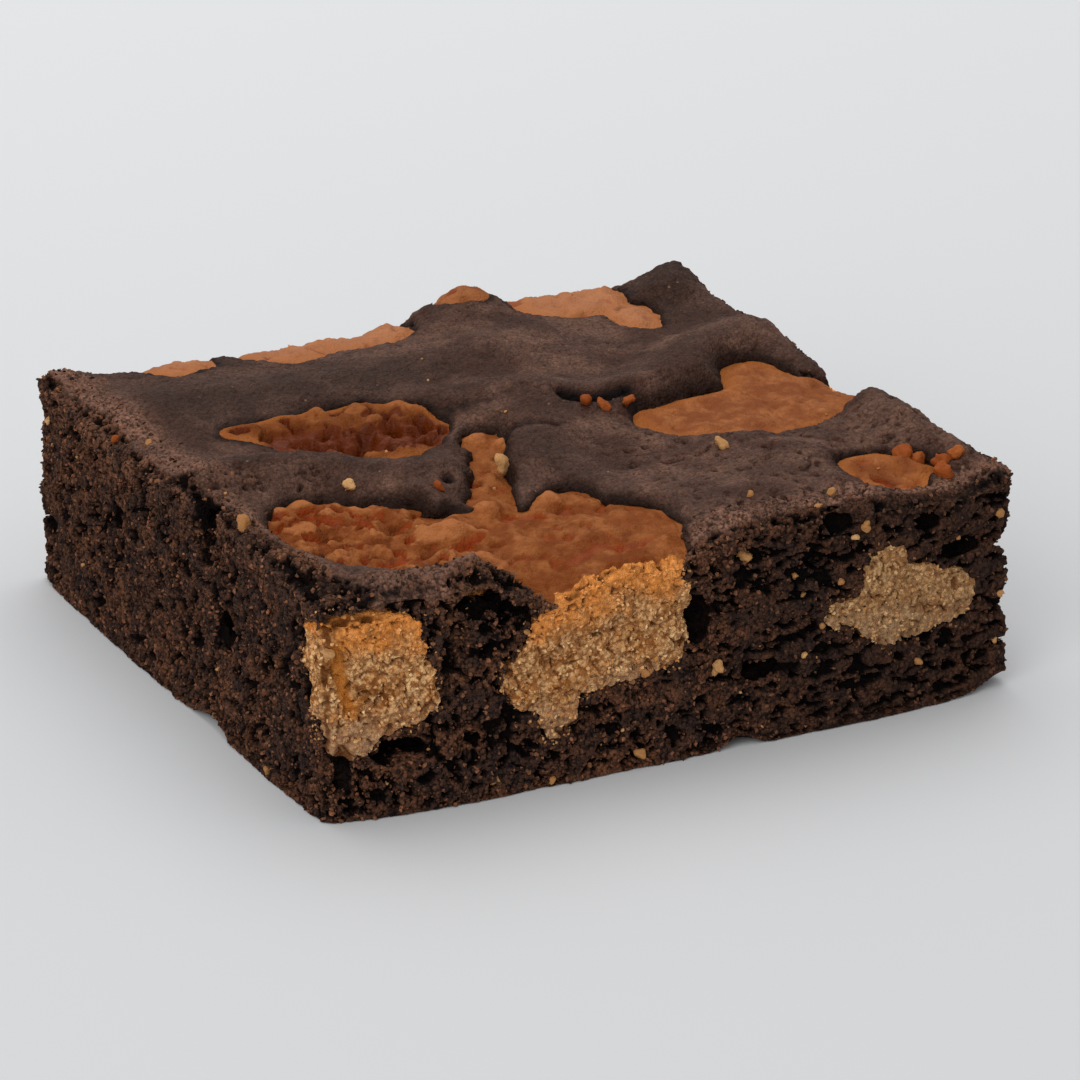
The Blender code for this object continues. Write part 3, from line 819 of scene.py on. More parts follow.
def depth_in_face(points):
    """How deep each point lies inside the broad form of the nearest cut face."""
    x, y, z = points.T
    nearest = np.full(len(x), CUT_REACH)
    for face, (far, along) in from_faces(x, y).items():
        near = far < CUT_REACH
        depth = far[near] - face_bow(face, along[near]) - face_relief(face, along[near], z[near])
        nearest[near] = np.minimum(nearest[near], depth)
    return nearest


# ---------------------------------------------------------------- fine relief


def pore_depth(points):
    """How deep the crumb is torn at each point: round pores at the left, flat ones at the right."""
    flat = points * (0.62, 0.62, 1.4)
    layered = step_up(-8, 4, points[:, 0])
    size = (1 - layered) * perlin(points, PORE_SIZE, 3) + layered * perlin(flat, PORE_SIZE, 5)
    fine = (1 - layered) * perlin(points, PORE_FINE, 7) + layered * perlin(flat, PORE_FINE, 9)
    patchy = perlin(points, 5, 11)
    return PORE_DEPTH * step_up(0.03, 0.2, 0.56 * size + 0.5 * fine + 0.16 * patchy)


def cavity_depth(points):
    """Depth of the listed holes, with ragged outlines."""
    depth = np.zeros(len(points))
    ragged = 0.3 * perlin(points, 0.9, 45)
    faces = from_faces(points[:, 0], points[:, 1])
    for face, place, height, half_width, half_height, deep in CAVITIES:
        far, along = faces[face]
        near = far < CUT_REACH
        off = np.hypot((along[near] - place) / half_width, (points[near, 2] - height) / half_height)
        depth[near] = np.maximum(depth[near], deep * step_up(1.15, 0.6, off + ragged[near]))
    return depth


def crumb_relief(points):
    pushed = warped(points, 0.9, 0.3)
    clumps = cells(pushed, CRUMB_SIZE, 13)
    small = cells(pushed, CRUMB_SIZE / 2, 14)
    return np.maximum(pore_depth(pushed), cavity_depth(points)) + CRUMB_DEPTH * clumps**2 + 0.12 * small


def torn(x, y, tears):
    """Where a baked top is torn away, from 0 to 1."""
    ragged = 0.7 * perlin(plan(x, y), 1.6, 47) + 0.3 * perlin(plan(x, y), 0.7, 48)
    share = np.zeros(len(x))
    for path, half_width, fully in tears:
        off = (path_distance(x, y, path) + ragged) / half_width
        share = np.maximum(share, fully * step_up(1.2, 0.8, off))
    return share


def near_rim(x, y):
    """1 on the rim along the front and left edges, where the crust is rough, and 0 farther in."""
    return step_up(7, 3, np.minimum(LENGTH / 2 + x, WIDTH / 2 + y))


def crust_relief(points):
    """How deep the baked crust is wrinkled and pocked."""
    x, y, _ = points.T
    grainy = 0.16 + 0.3 * near_rim(x, y)
    wrinkles = 0.18 * perlin(points, 2.4, 15) + 0.16 * perlin(points, 0.9, 17)
    wrinkles += 0.06 * perlin(points, 0.45, 18)
    wrinkles += grainy * (cells(warped(points, 0.9, 0.3), 0.55, 19) - 0.5)
    rough = 0.25 + 0.75 * step_up(0, 10, x) * step_up(2, -8, y)
    pocks = 0.4 * rough * step_up(0.22, 0.5, perlin(warped(points, 1.2, 0.5), 0.8, 21))
    creases = sum(depth * bump(path_distance(x, y, path), spread) for path, spread, depth in CRUST_CREASES)
    return wrinkles + pocks + creases


def pit_depth(x, y):
    """Depth of the pits and folds in the dough's baked top."""
    depth = sum(deep * bump(path_distance(x, y, path), spread) for path, spread, deep in DOUGH_CREASES)
    ragged = 0.35 * perlin(plan(x, y), 1.0, 24)
    for cx, cy, rx, ry, deep in DOUGH_PITS:
        depth = depth + deep * step_up(1.15, 0.35, np.hypot((x - cx) / rx, (y - cy) / ry) + ragged)
    _, _, pitted = nearest_dough(x, y)
    pool = pitted + 0.5 * step_up(-13, -17, x) * step_up(-6, -10, y)
    return depth + 0.9 * pool * step_up(0.22, 0.5, perlin(warped(plan(x, y), 1.4, 0.6), 1.7, 23))


def dough_top_relief(points):
    x, y, _ = points.T
    distance, _, pitted = nearest_dough(x, y)
    rough = 0.6 + pitted + 0.9 * step_up(-14, -18, x) * step_up(-4, -8, y)
    rough *= 0.12 + 0.88 * step_up(0.3, 2.2, -distance)
    lumps = 0.5 * perlin(points, 2.2, 25) + 0.3 * perlin(points, 1.1, 27) + 0.14 * perlin(points, 0.5, 29)
    knobs = sum(rise * bump(np.hypot(x - cx, y - cy), radius) for cx, cy, radius, rise in DOUGH_KNOBS)
    return rough * lumps + pit_depth(x, y) - knobs


def crack_depth(points):
    x, _, z = points.T
    return sum(deep * bump(path_distance(x, z, path), spread) for path, spread, deep in DOUGH_CRACKS)


def sandy_relief(points):
    pushed = warped(points, 0.9, 0.35)
    grains = SANDY_DEPTH * cells(pushed, SANDY_SIZE, 33) ** 2 + 0.12 * cells(pushed, SANDY_SIZE / 2, 34)
    broad = 0.3 * perlin(points, 2.2, 35) + 0.2 * perlin(points, 1.0, 36)
    gaps = 0.35 * step_up(0.07, 0.0, abs(perlin(pushed, 1.6, 31)))
    return grains + broad + gaps + crack_depth(points)


def carved(mesh, top_relief, cut_relief, tears):
    """Presses fine relief into a block: one kind on top, another where it is cut and where the top tears."""
    points, normals = get_points(mesh), get_normals(mesh)
    x, y, _ = points.T
    up = normals[:, 2]
    depth = np.zeros(len(points))
    beside_cut = step_up(4.5, 3.0, np.minimum(LENGTH / 2 - abs(x), WIDTH / 2 - abs(y)))
    cut = step_up(0.8, 0.35, abs(up)) * beside_cut
    cut = np.where(up > 0, np.maximum(cut, torn(x, y, tears)), cut)
    top = step_up(0.0, 0.4, up) * (1 - cut)
    on_top, on_cut = top > 0, cut > 0
    depth[on_top] += top[on_top] * top_relief(points[on_top])
    depth[on_cut] += cut[on_cut] * cut_relief(points[on_cut])
    moved = points - normals * depth[:, None]
    moved[:, 2] = np.maximum(moved[:, 2], 0)
    set_points(mesh, moved)


# ---------------------------------------------------------------- making the pieces' meshes


def fine_block():
    """A cube of -0.5 to 0.5, finely divided."""
    bm = bmesh.new()
    bmesh.ops.create_cube(bm, size=1)
    for axis, size in enumerate((LENGTH, WIDTH, GROUND)):
        along = [e for e in bm.edges if abs((e.verts[0].co - e.verts[1].co)[axis]) > 0.5]
        bmesh.ops.subdivide_edges(bm, edges=along, cuts=round(size / BLOCK_STEP) - 1, use_grid_fill=True)
    return new_mesh("block", bm)


def slab(block, top, top_relief, cut_relief, tears):
    mesh = block.copy()
    set_points(mesh, shaped(get_points(block) * MM, top))
    carved(mesh, top_relief, cut_relief, tears)
    return mesh


def lump_mesh(name):
    """A lump as it lies in the batter, ragged where it is buried."""
    bm = bmesh.new()
    for x, y, rx, ry, turn, depth in DOUGH[name]["tops"]:
        ground = float(ground_height(np.array([x]), np.array([y]))[0])
        place = Matrix.Translation(Vector((x, y, ground))) @ Matrix.Rotation(math.radians(turn), 4, "Z")
        ball = place @ Matrix.Diagonal((rx, ry, depth, 1))
        bmesh.ops.create_icosphere(bm, subdivisions=5, radius=1, matrix=ball)
    for x, y, z, rx, ry, rz in DOUGH[name]["balls"]:
        ball = Matrix.Translation(Vector((x, y, z))) @ Matrix.Diagonal((rx, ry, rz, 1))
        bmesh.ops.create_icosphere(bm, subdivisions=5, radius=1, matrix=ball)
    bmesh.ops.scale(bm, vec=(MM, MM, MM), verts=bm.verts)
    lump = new_object(name + "_lump", new_mesh(name + "_balls", bm))
    join = lump.modifiers.new("Join", "REMESH")
    join.mode = "VOXEL"
    join.voxel_size = LUMP_VOXEL * MM
    soften = lump.modifiers.new("Soften", "SMOOTH")
    soften.iterations = 4
    mesh = applied(lump)
    points, normals = get_points(mesh), get_normals(mesh)
    x, y, z = points.T
    sideways = normals * (1, 1, 0)
    buried = 0.3 + 0.7 * step_up(0.3, 2.5, ground_height(x, y) - z)
    rag = RAG * (perlin(points, RAG_SIZE, 41) + 0.9 * perlin(points, RAG_SIZE / 2.2, 43))
    rag += RAG * (0.4 - 0.8 * cells(points, RAG_SIZE / 2, 44))
    set_points(mesh, points + sideways * wobble(x, y)[:, None] + normals * (rag * buried)[:, None])
    return mesh


def boolean(mesh, operation, **operand):
    obj = new_object("cut", mesh)
    cut = obj.modifiers.new("Cut", "BOOLEAN")
    cut.operation = operation
    cut.solver = "MANIFOLD"
    for key, value in operand.items():
        setattr(cut, key, value)
    return applied(obj)


def above_and_below(mesh, level):
    """The mesh as two closed meshes that meet at a level."""
    bm = bmesh.new()
    upper = Matrix.Translation((0, 0, (level + LENGTH) * MM)) @ Matrix.Scale(2 * LENGTH * MM, 4)
    bmesh.ops.create_cube(bm, size=1, matrix=upper)
    cutter = new_object("cutter", new_mesh("cutter", bm))
    parts = boolean(mesh.copy(), "INTERSECT", object=cutter), boolean(mesh, "DIFFERENCE", object=cutter)
    bpy.data.objects.remove(cutter)
    return parts


def finish_piece(name, mesh, material, slot, nodes=(), sharp=SHARP_ANGLE):
    mesh.name = name
    mesh.materials.clear()
    mesh.materials.append(material)
    mesh.shade_smooth()
    mesh.set_sharp_from_angle(angle=math.radians(sharp))
    piece = new_object(name, mesh)
    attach(piece, "root")
    if nodes:
        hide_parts(*nodes)
    return piece


def mark_crumb(mesh, dough_surface):
    """What the dark crumb's material and loose grains read, such as crust, pores and nearness to dough."""
    points = get_points(mesh)
    x, y, z = points.T
    under = batter_top(x, y) - z
    inward = depth_in_face(points)
    distance, _, _ = nearest_dough(x, y)
    crust = step_up(1.3, 0.5, under) * (1 - torn(x, y, TORN))
    # How deep a point lies under the bar's broad surface; the material paints this as shade in the pores
    depth = np.minimum(np.minimum(under, inward), np.maximum(z, 0))
    pore = np.clip(depth / (PORE_DEPTH + CRUMB_DEPTH), 0, 1)
    set_attribute(mesh, "crust", crust)
    set_attribute(mesh, "pore", pore)
    # Where the crust rounds down to the dough; the material paints a shadow there
    set_attribute(mesh, "seam_shade", crust * bump(np.maximum(distance, 0), 0.6))
    outside = step_up(0.8, 0.3, pore) * (inward < 1.6) * (z > 0.15)
    set_attribute(mesh, "rim", near_rim(x, y) * crust)
    set_attribute(mesh, "calm", step_up(-6, 26, x) * step_up(-32, -33.5, y))
    set_attribute(mesh, "lit", step_up(3.6, 0.6, under) * step_up(14, -12, x))
    # Partly painted shade on steep sides of ridges and lumps, partly painted sheen on high crust
    set_attribute(mesh, "tone", np.clip(0.8 + total_rise(x, y, CRUST_TONES_AND_PAINTED_LIGHT), 0, 1))
    # Depth of the crust's relief; the material paints shade in its dents
    set_attribute(mesh, "dent", np.clip(0.5 + 1.1 * crust_relief(points), 0, 1))
    ragged = near_rim(x, y) ** 2 * step_up(1.4, 0.6, under)
    sparse = 1 - 0.45 * step_up(0, 20, x)
    set_attribute(mesh, "grain", np.maximum(outside * (1 - 0.95 * crust) * sparse, 0.6 * ragged))
    to_dough = [dough_surface.find_nearest(p, NEAR_DOUGH * MM)[3] for p in (points * MM).tolist()]
    apart = np.array([NEAR_DOUGH if found is None else found / MM for found in to_dough])
    set_attribute(mesh, "sand", outside * (1 - crust) * step_up(NEAR_DOUGH, 0.15, apart))


def gathered(meshes):
    """One bmesh of them all, as they are."""
    bm = bmesh.new()
    for mesh in meshes:
        bm.from_mesh(mesh)
    return bm


def surface_of(meshes):
    """A search tree over all the meshes together."""
    bm = gathered(meshes)
    tree = BVHTree.FromBMesh(bm)
    bm.free()
    return tree


def mark_dough(mesh, made):
    """What the dough's material and loose grains read."""
    points = get_points(mesh)
    x, y, z = points.T
    inside = depth_in_face(points)
    beside_cut = step_up(3.2, 1.8, inside)
    below_top = (dough_top(x, y) - z) * (0.2 + 0.8 * beside_cut)
    under = np.maximum(below_top, 1.6 * (torn(x, y, DOUGH_TORN) if made["tops"] else 1))
    inward = np.minimum(inside, np.maximum(below_top, 0))
    on_top = step_up(1.6, 0.4, under)
    # Depth of the baked top's relief; the material paints highlight on its crests and shade in its dents
    set_attribute(mesh, "dent", np.clip(0.42 + 0.75 * dough_top_relief(points), 0, 1))
    pit = np.clip(pit_depth(x, y) / 0.8, 0, 1) * on_top
    # Depth inside the cut face; the material paints this as shade
    hole = np.clip(inward / 0.8, 0, 1) * (1 - on_top)
    set_attribute(mesh, "under", np.clip(under, 0, 20))
    uneven = 2.0 * perlin(points, 2.6, 61) + 0.9 * perlin(points, 0.9, 62)
    set_attribute(mesh, "toast", step_up(4.6, 1.0, below_top + uneven))
    set_attribute(mesh, "pit", pit)
    set_attribute(mesh, "hole", hole)
    set_attribute(mesh, "crack", np.clip(crack_depth(points), 0, 1))
    distance, _, _ = nearest_dough(x, y)
    set_attribute(mesh, "ring", made["ringed"] * bump(distance, 1.6))
    for tint in ("dull", "pale", "deep"):
        set_attribute(mesh, tint, np.full(len(x), made[tint]))
    set_attribute(mesh, "grain", (inward < 1.2) * step_up(0.4, 1.0, under) * (1 - hole) * beside_cut)


# ---------------------------------------------------------------- shader node groups


def add(tree, kind, **values):
    """A new node. Each value sets a property of that name or the input socket of that name."""
    made = tree.nodes.new(kind)
    for key, value in values.items():
        if hasattr(made, key):
            setattr(made, key, value)
        else:
            socket = made.inputs[key.replace("_", " ")]
            if isinstance(value, bpy.types.NodeSocket):
                tree.links.new(value, socket)
            else:
                socket.default_value = value
    return made


def maths(tree, operation, first, second):
    made = tree.nodes.new("ShaderNodeMath")
    made.operation = operation
    for socket, value in zip(made.inputs, (first, second)):
        if isinstance(value, bpy.types.NodeSocket):
            tree.links.new(value, socket)
        else:
            socket.default_value = value
    return made.outputs[0]


def times(tree, first, second):
    return maths(tree, "MULTIPLY", first, second)


def ramp(tree, value, low, high):
    """0 to 1, smooth, as the value goes from low to high. It falls where low is above high."""
    made = tree.nodes.new("ShaderNodeMapRange")
    made.interpolation_type = "SMOOTHSTEP"
    tree.links.new(value, made.inputs["Value"])
    rising = high > low
    made.inputs["From Min"].default_value = low if rising else high
    made.inputs["From Max"].default_value = high if rising else low
    made.inputs["To Min"].default_value = 0.0 if rising else 1.0
    made.inputs["To Max"].default_value = 1.0 if rising else 0.0
    return made.outputs["Result"]


def mix(tree, factor, first, second):
    made = tree.nodes.new("ShaderNodeMix")
    made.data_type = "RGBA"
    for socket, value in ((made.inputs[0], factor), (made.inputs[6], first), (made.inputs[7], second)):
        if isinstance(value, bpy.types.NodeSocket):
            tree.links.new(value, socket)
        elif isinstance(value, tuple):
            socket.default_value = (*value, 1)
        else:
            socket.default_value = value
    return made.outputs[2]


def tinted(tree, colour, where, amount, tint):
    """The colour taken towards a tint, by an amount, where a mask says."""
    return mix(tree, times(tree, where, amount), colour, tint)


def attribute(tree, name):
    return add(tree, "ShaderNodeAttribute", attribute_name=name).outputs["Fac"]


def new_group(name, inputs, outputs):
    """A shader node group with number inputs of given defaults, and number outputs."""
    tree = bpy.data.node_groups.new(name, "ShaderNodeTree")
    for label, value in inputs.items():
        socket = tree.interface.new_socket(label, in_out="INPUT", socket_type="NodeSocketFloat")
        socket.default_value = value
    for label in outputs:
        tree.interface.new_socket(label, in_out="OUTPUT", socket_type="NodeSocketFloat")
    return tree, tree.nodes.new("NodeGroupInput"), tree.nodes.new("NodeGroupOutput")


def millimetres(tree):
    """The place on the bar, in millimetres."""
    where = tree.nodes.new("ShaderNodeTexCoord").outputs["Object"]
    return add(tree, "ShaderNodeMapping", Vector=where, Scale=(1000, 1000, 1000)).outputs["Vector"]


def grain_group():
    """Rounded grains packed close: their height, a shade that differs from grain to grain, and the gaps."""
    tree, given, out = new_group("packed grains", {"Size": 0.5}, ("Height", "Shade", "Gap"))
    per_mm = maths(tree, "DIVIDE", 1, given.outputs["Size"])
    where = millimetres(tree)
    blur = add(tree, "ShaderNodeTexNoise", Vector=where, Scale=1.7, Detail=2.0)
    push = add(tree, "ShaderNodeMix", data_type="VECTOR")
    push.inputs[0].default_value = 0.12
    tree.links.new(where, push.inputs[4])
    tree.links.new(blur.outputs["Color"], push.inputs[5])
    near = add(tree, "ShaderNodeTexVoronoi", Vector=push.outputs[1], Scale=per_mm)
    tint = add(tree, "ShaderNodeSeparateColor", Color=near.outputs["Color"])
    fine = add(tree, "ShaderNodeTexNoise", Vector=where, Scale=times(tree, per_mm, 2.3), Detail=3.0)
    dome = maths(tree, "SUBTRACT", 1, near.outputs["Distance"])
    rough = times(tree, fine.outputs["Fac"], 0.5)
    tree.links.new(maths(tree, "ADD", dome, rough), out.inputs["Height"])
    tree.links.new(tint.outputs["Red"], out.inputs["Shade"])
    tree.links.new(ramp(tree, near.outputs["Distance"], 0.45, 0.8), out.inputs["Gap"])
    return tree


def patch_group():
    """Soft patches of two tones."""
    tree, given, out = new_group("soft patches", {"Size": 5.0, "Detail": 3.0, "Seed": 0.0}, ("Mask",))
    per_mm = maths(tree, "DIVIDE", 1, given.outputs["Size"])
    made = add(
        tree,
        "ShaderNodeTexNoise",
        noise_dimensions="4D",
        Vector=millimetres(tree),
        W=given.outputs["Seed"],
        Scale=per_mm,
        Detail=given.outputs["Detail"],
    )
    tree.links.new(ramp(tree, made.outputs["Fac"], 0.38, 0.62), out.inputs["Mask"])
    return tree


def speck_group():
    """Sparse small specks: 1 on a speck and 0 elsewhere."""
    tree, given, out = new_group("specks", {"Spacing": 1.5, "Share": 0.3}, ("Mask",))
    per_mm = maths(tree, "DIVIDE", 1, given.outputs["Spacing"])
    near = add(tree, "ShaderNodeTexVoronoi", Vector=millimetres(tree), Scale=per_mm)
    chance = add(tree, "ShaderNodeSeparateColor", Color=near.outputs["Color"])
    chosen = maths(tree, "LESS_THAN", chance.outputs["Green"], given.outputs["Share"])
    small = ramp(tree, near.outputs["Distance"], 0.14, 0.07)
    tree.links.new(times(tree, chosen, small), out.inputs["Mask"])
    return tree


def use(tree, group, **values):
    made = tree.nodes.new("ShaderNodeGroup")
    made.node_tree = group
    for key, value in values.items():
        made.inputs[key].default_value = value
    return made.outputs


def soft_patches(tree, patches, size, detail, seed):
    return use(tree, patches, Size=size, Detail=detail, Seed=seed)["Mask"]


def new_material(name, constants):
    """A material, its tree and its shader. What is the same all over is set on the shader's own sockets."""
    material = bpy.data.materials.new(name)
    material.use_nodes = True
    shader = material.node_tree.nodes["Principled BSDF"]
    for socket, value in constants.items():
        shader.inputs[socket].default_value = value
    return material, material.node_tree, shader


def finish_material(tree, shader, colour, height, strength, distance):
    """Gives the shader its colour and the relief of its surface."""
    tree.links.new(colour, shader.inputs["Base Color"])
    relief = add(tree, "ShaderNodeBump", Height=height, Strength=strength, Distance=distance)
    tree.links.new(relief.outputs["Normal"], shader.inputs["Normal"])


def torn_crumb_colour(tree, fine, haze, warm):
    """Painted shade, nearly black, between the grains, and warmer where the light gets in under the crust."""
    colour = mix(tree, fine["Shade"], (0.014, 0.008, 0.007), (0.135, 0.058, 0.031))
    colour = tinted(tree, colour, warm, 0.6, (0.225, 0.091, 0.045))
    colour = tinted(tree, colour, attribute(tree, "lit"), 0.5, (0.290, 0.130, 0.074))
    colour = tinted(tree, colour, haze, 0.6, (0.020, 0.018, 0.019))
    # Painted shade between the grains
    colour = tinted(tree, colour, fine["Gap"], 0.88, (0.004, 0.0032, 0.0034))
    return tinted(tree, colour, attribute(tree, "calm"), 0.5, (0.030, 0.016, 0.012))


def crust_colour(tree, fine, haze, film, dots):
    """Dull grey-brown, lighter and grainier at the rim, with painted shade in its dents, between its grains
    and beside the dough.
    """
    rim = attribute(tree, "rim")
    colour = mix(tree, film, (0.092, 0.038, 0.023), (0.236, 0.118, 0.078))
    # Darker or lighter by the tone attribute: partly painted shade on steep sides of ridges and lumps, partly
    # painted sheen on high crust
    colour = mix(tree, attribute(tree, "tone"), (0.036, 0.020, 0.015), colour)
    colour = tinted(tree, colour, rim, 0.75, (0.375, 0.184, 0.118))
    colour = tinted(tree, colour, haze, 0.5, (0.064, 0.031, 0.022))
    colour = tinted(tree, colour, dots, 0.35, (0.034, 0.015, 0.010))
    # Painted shade in the dents of the crust's relief
    colour = tinted(tree, colour, ramp(tree, attribute(tree, "dent"), 0.5, 0.95), 0.65, (0.024, 0.010, 0.007))
    # Painted shade between the grains, more at the rim
    grainy = maths(tree, "ADD", 0.4, times(tree, rim, 0.35))
    colour = tinted(tree, colour, fine["Gap"], grainy, (0.014, 0.008, 0.006))
    # Painted shadow where the crust rounds down beside the dough
    return tinted(tree, colour, attribute(tree, "seam_shade"), 0.85, (0.014, 0.007, 0.005))


def crumb_material(grains, patches, specks):
    """Dark crumb where the bar is cut, and the dull crust on top."""
    constants = {"Metallic": 0.0, "Specular IOR Level": 0.05, "Coat Roughness": 0.5}
    material, tree, shader = new_material("dark_crumb", constants)
    fine = use(tree, grains, Size=0.3)
    coarse = use(tree, grains, Size=0.7)
    haze = soft_patches(tree, patches, 3.2, 5.0, 1.0)
    warm = soft_patches(tree, patches, 0.9, 3.0, 2.0)
    film = soft_patches(tree, patches, 6.0, 5.0, 3.0)
    dots = soft_patches(tree, patches, 0.4, 3.0, 4.0)
    spots = use(tree, specks, Spacing=1.3, Share=0.12)["Mask"]
    ragged = maths(tree, "SUBTRACT", attribute(tree, "crust"), times(tree, warm, 0.25))
    crust = ramp(tree, ragged, 0.15, 0.5)
    baked = crust_colour(tree, fine, haze, film, dots)
    colour = mix(tree, crust, torn_crumb_colour(tree, fine, haze, warm), baked)
    # Painted shade: the crumb is taken nearly to black the deeper it lies in a pore or hollow
    dark = ramp(tree, attribute(tree, "pore"), 0.12, 0.6)
    colour = tinted(tree, colour, dark, 0.93, (0.003, 0.0024, 0.0026))
    colour = tinted(tree, colour, spots, 0.7, (0.26, 0.17, 0.10))
    rough = maths(tree, "SUBTRACT", 0.85, times(tree, crust, 0.25))
    tree.links.new(rough, shader.inputs["Roughness"])
    tree.links.new(times(tree, crust, 0.06), shader.inputs["Coat Weight"])
    height = maths(tree, "ADD", fine["Height"], coarse["Height"])
    height = maths(tree, "ADD", height, times(tree, dots, 0.5))
    finish_material(tree, shader, colour, height, 0.9, 0.25 * MM)
    return material


def baked_dough_colour(tree, film, mottle, pits):
    """Orange-brown, with a brighter rim, painted highlights on its knobs and crests, painted shade in its
    dents, and reddish pits.
    """
    dent, deep = attribute(tree, "dent"), attribute(tree, "deep")
    colour = mix(tree, film, (0.205, 0.052, 0.011), (0.350, 0.118, 0.034))
    colour = tinted(tree, colour, mottle, 0.5, (0.165, 0.032, 0.005))
    # Lighter tops; on the far lumps partly a painted sheen
    colour = tinted(tree, colour, attribute(tree, "pale"), 0.7, (0.52, 0.225, 0.110))
    colour = tinted(tree, colour, deep, 0.8, (0.130, 0.032, 0.006))
    colour = mix(tree, attribute(tree, "ring"), colour, (0.40, 0.125, 0.026))
    # Painted highlight on the crests and knobs, less in deep lumps, and painted shade in the dents
    shown = maths(tree, "SUBTRACT", 0.8, times(tree, deep, 0.6))
    colour = tinted(tree, colour, ramp(tree, dent, 0.35, 0.0), shown, (0.46, 0.165, 0.055))
    colour = tinted(tree, colour, ramp(tree, dent, 0.5, 0.85), 0.8, (0.125, 0.024, 0.004))
    red = mix(tree, deep, (0.300, 0.044, 0.003), (0.075, 0.014, 0.002))
    return tinted(tree, colour, pits, 0.9, red)


def cut_dough_colour(tree, sand, tone, holes, under):
    """Pale and sandy, toasted below the baked top, duller low down, with painted shade in its gaps and holes.
    """
    toast = attribute(tree, "toast")
    colour = mix(tree, tone, (0.54, 0.205, 0.048), (0.84, 0.47, 0.195))
    colour = tinted(tree, colour, sand["Shade"], 0.65, (0.98, 0.66, 0.33))
    colour = tinted(tree, colour, toast, 0.82, (0.98, 0.330, 0.056))
    # Painted shade in the gaps between grains and in small spots standing for shaded holes, less in the
    # toasted band
    gap_and_hole_shade = maths(tree, "SUBTRACT", 0.8, times(tree, toast, 0.4))
    colour = tinted(tree, colour, sand["Gap"], gap_and_hole_shade, (0.21, 0.062, 0.011))
    colour = tinted(tree, colour, holes, gap_and_hole_shade, (0.25, 0.075, 0.015))
    ragged = maths(tree, "ADD", under, times(tree, maths(tree, "SUBTRACT", tone, 0.5), 1.6))
    colour = tinted(tree, colour, ramp(tree, ragged, 7.5, 12.5), 0.5, (0.36, 0.21, 0.13))
    colour = tinted(tree, colour, attribute(tree, "dull"), 0.6, (0.27, 0.17, 0.085))
    # Painted shade, darker the deeper a point lies inside the cut face
    colour = tinted(tree, colour, ramp(tree, attribute(tree, "hole"), 0.3, 0.85), 0.9, (0.13, 0.038, 0.008))
    return tinted(tree, colour, ramp(tree, attribute(tree, "crack"), 0.0, 0.25), 0.5, (0.80, 0.28, 0.045))


def dough_material(grains, patches):
    """Cookie dough: browned and filmed on top, orange in its pits, sandy and pale where it is cut."""
    constants = {"Metallic": 0.0, "Specular IOR Level": 0.05, "Coat Roughness": 0.25}
    material, tree, shader = new_material("cookie_dough", constants)
    sand = use(tree, grains, Size=0.38)
    fine = use(tree, grains, Size=0.2)
    film = soft_patches(tree, patches, 3.0, 5.0, 5.0)
    mottle = soft_patches(tree, patches, 0.7, 4.0, 6.0)
    tone = soft_patches(tree, patches, 2.4, 4.0, 7.0)
    holes = soft_patches(tree, patches, 0.5, 3.0, 8.0)
    under = attribute(tree, "under")
    pits = ramp(tree, attribute(tree, "pit"), 0.12, 0.55)
    top = ramp(tree, under, 0.95, 0.45)
    cut = cut_dough_colour(tree, sand, tone, holes, under)
    colour = mix(tree, top, cut, baked_dough_colour(tree, film, mottle, pits))
    rough = maths(tree, "SUBTRACT", 0.75, times(tree, pits, 0.3))
    tree.links.new(rough, shader.inputs["Roughness"])
    gloss = maths(tree, "ADD", times(tree, top, 0.02), times(tree, pits, 0.1))
    tree.links.new(gloss, shader.inputs["Coat Weight"])
    level = maths(tree, "SUBTRACT", 1, times(tree, top, 0.55))
    height = times(tree, maths(tree, "ADD", sand["Height"], fine["Height"]), level)
    height = maths(tree, "ADD", height, times(tree, mottle, 0.4))
    finish_material(tree, shader, colour, height, 0.8, 0.22 * MM)
    return material


def loose_material(name, dark, light, patches):
    """Loose grains, each with a shade of its own."""
    constants = {"Metallic": 0.0, "Roughness": 0.75, "Specular IOR Level": 0.12}
    material, tree, shader = new_material(name, constants)
    speckle = soft_patches(tree, patches, 0.25, 2.0, 9.0)
    chance = maths(tree, "POWER", attribute(tree, "shade"), 1.6)
    shade = times(tree, chance, maths(tree, "ADD", 0.6, times(tree, speckle, 0.4)))
    colour = mix(tree, shade, dark, light)
    colour = tinted(tree, colour, attribute(tree, "toast"), 0.6, (0.78, 0.28, 0.05))
    colour = tinted(tree, colour, attribute(tree, "dull"), 0.5, (0.30, 0.19, 0.095))
    colour = tinted(tree, colour, attribute(tree, "calm"), 0.6, (0.050, 0.026, 0.017))
    finish_material(tree, shader, colour, speckle, 0.5, 0.08 * MM)
    return material


# ---------------------------------------------------------------- loose grains and crumbs


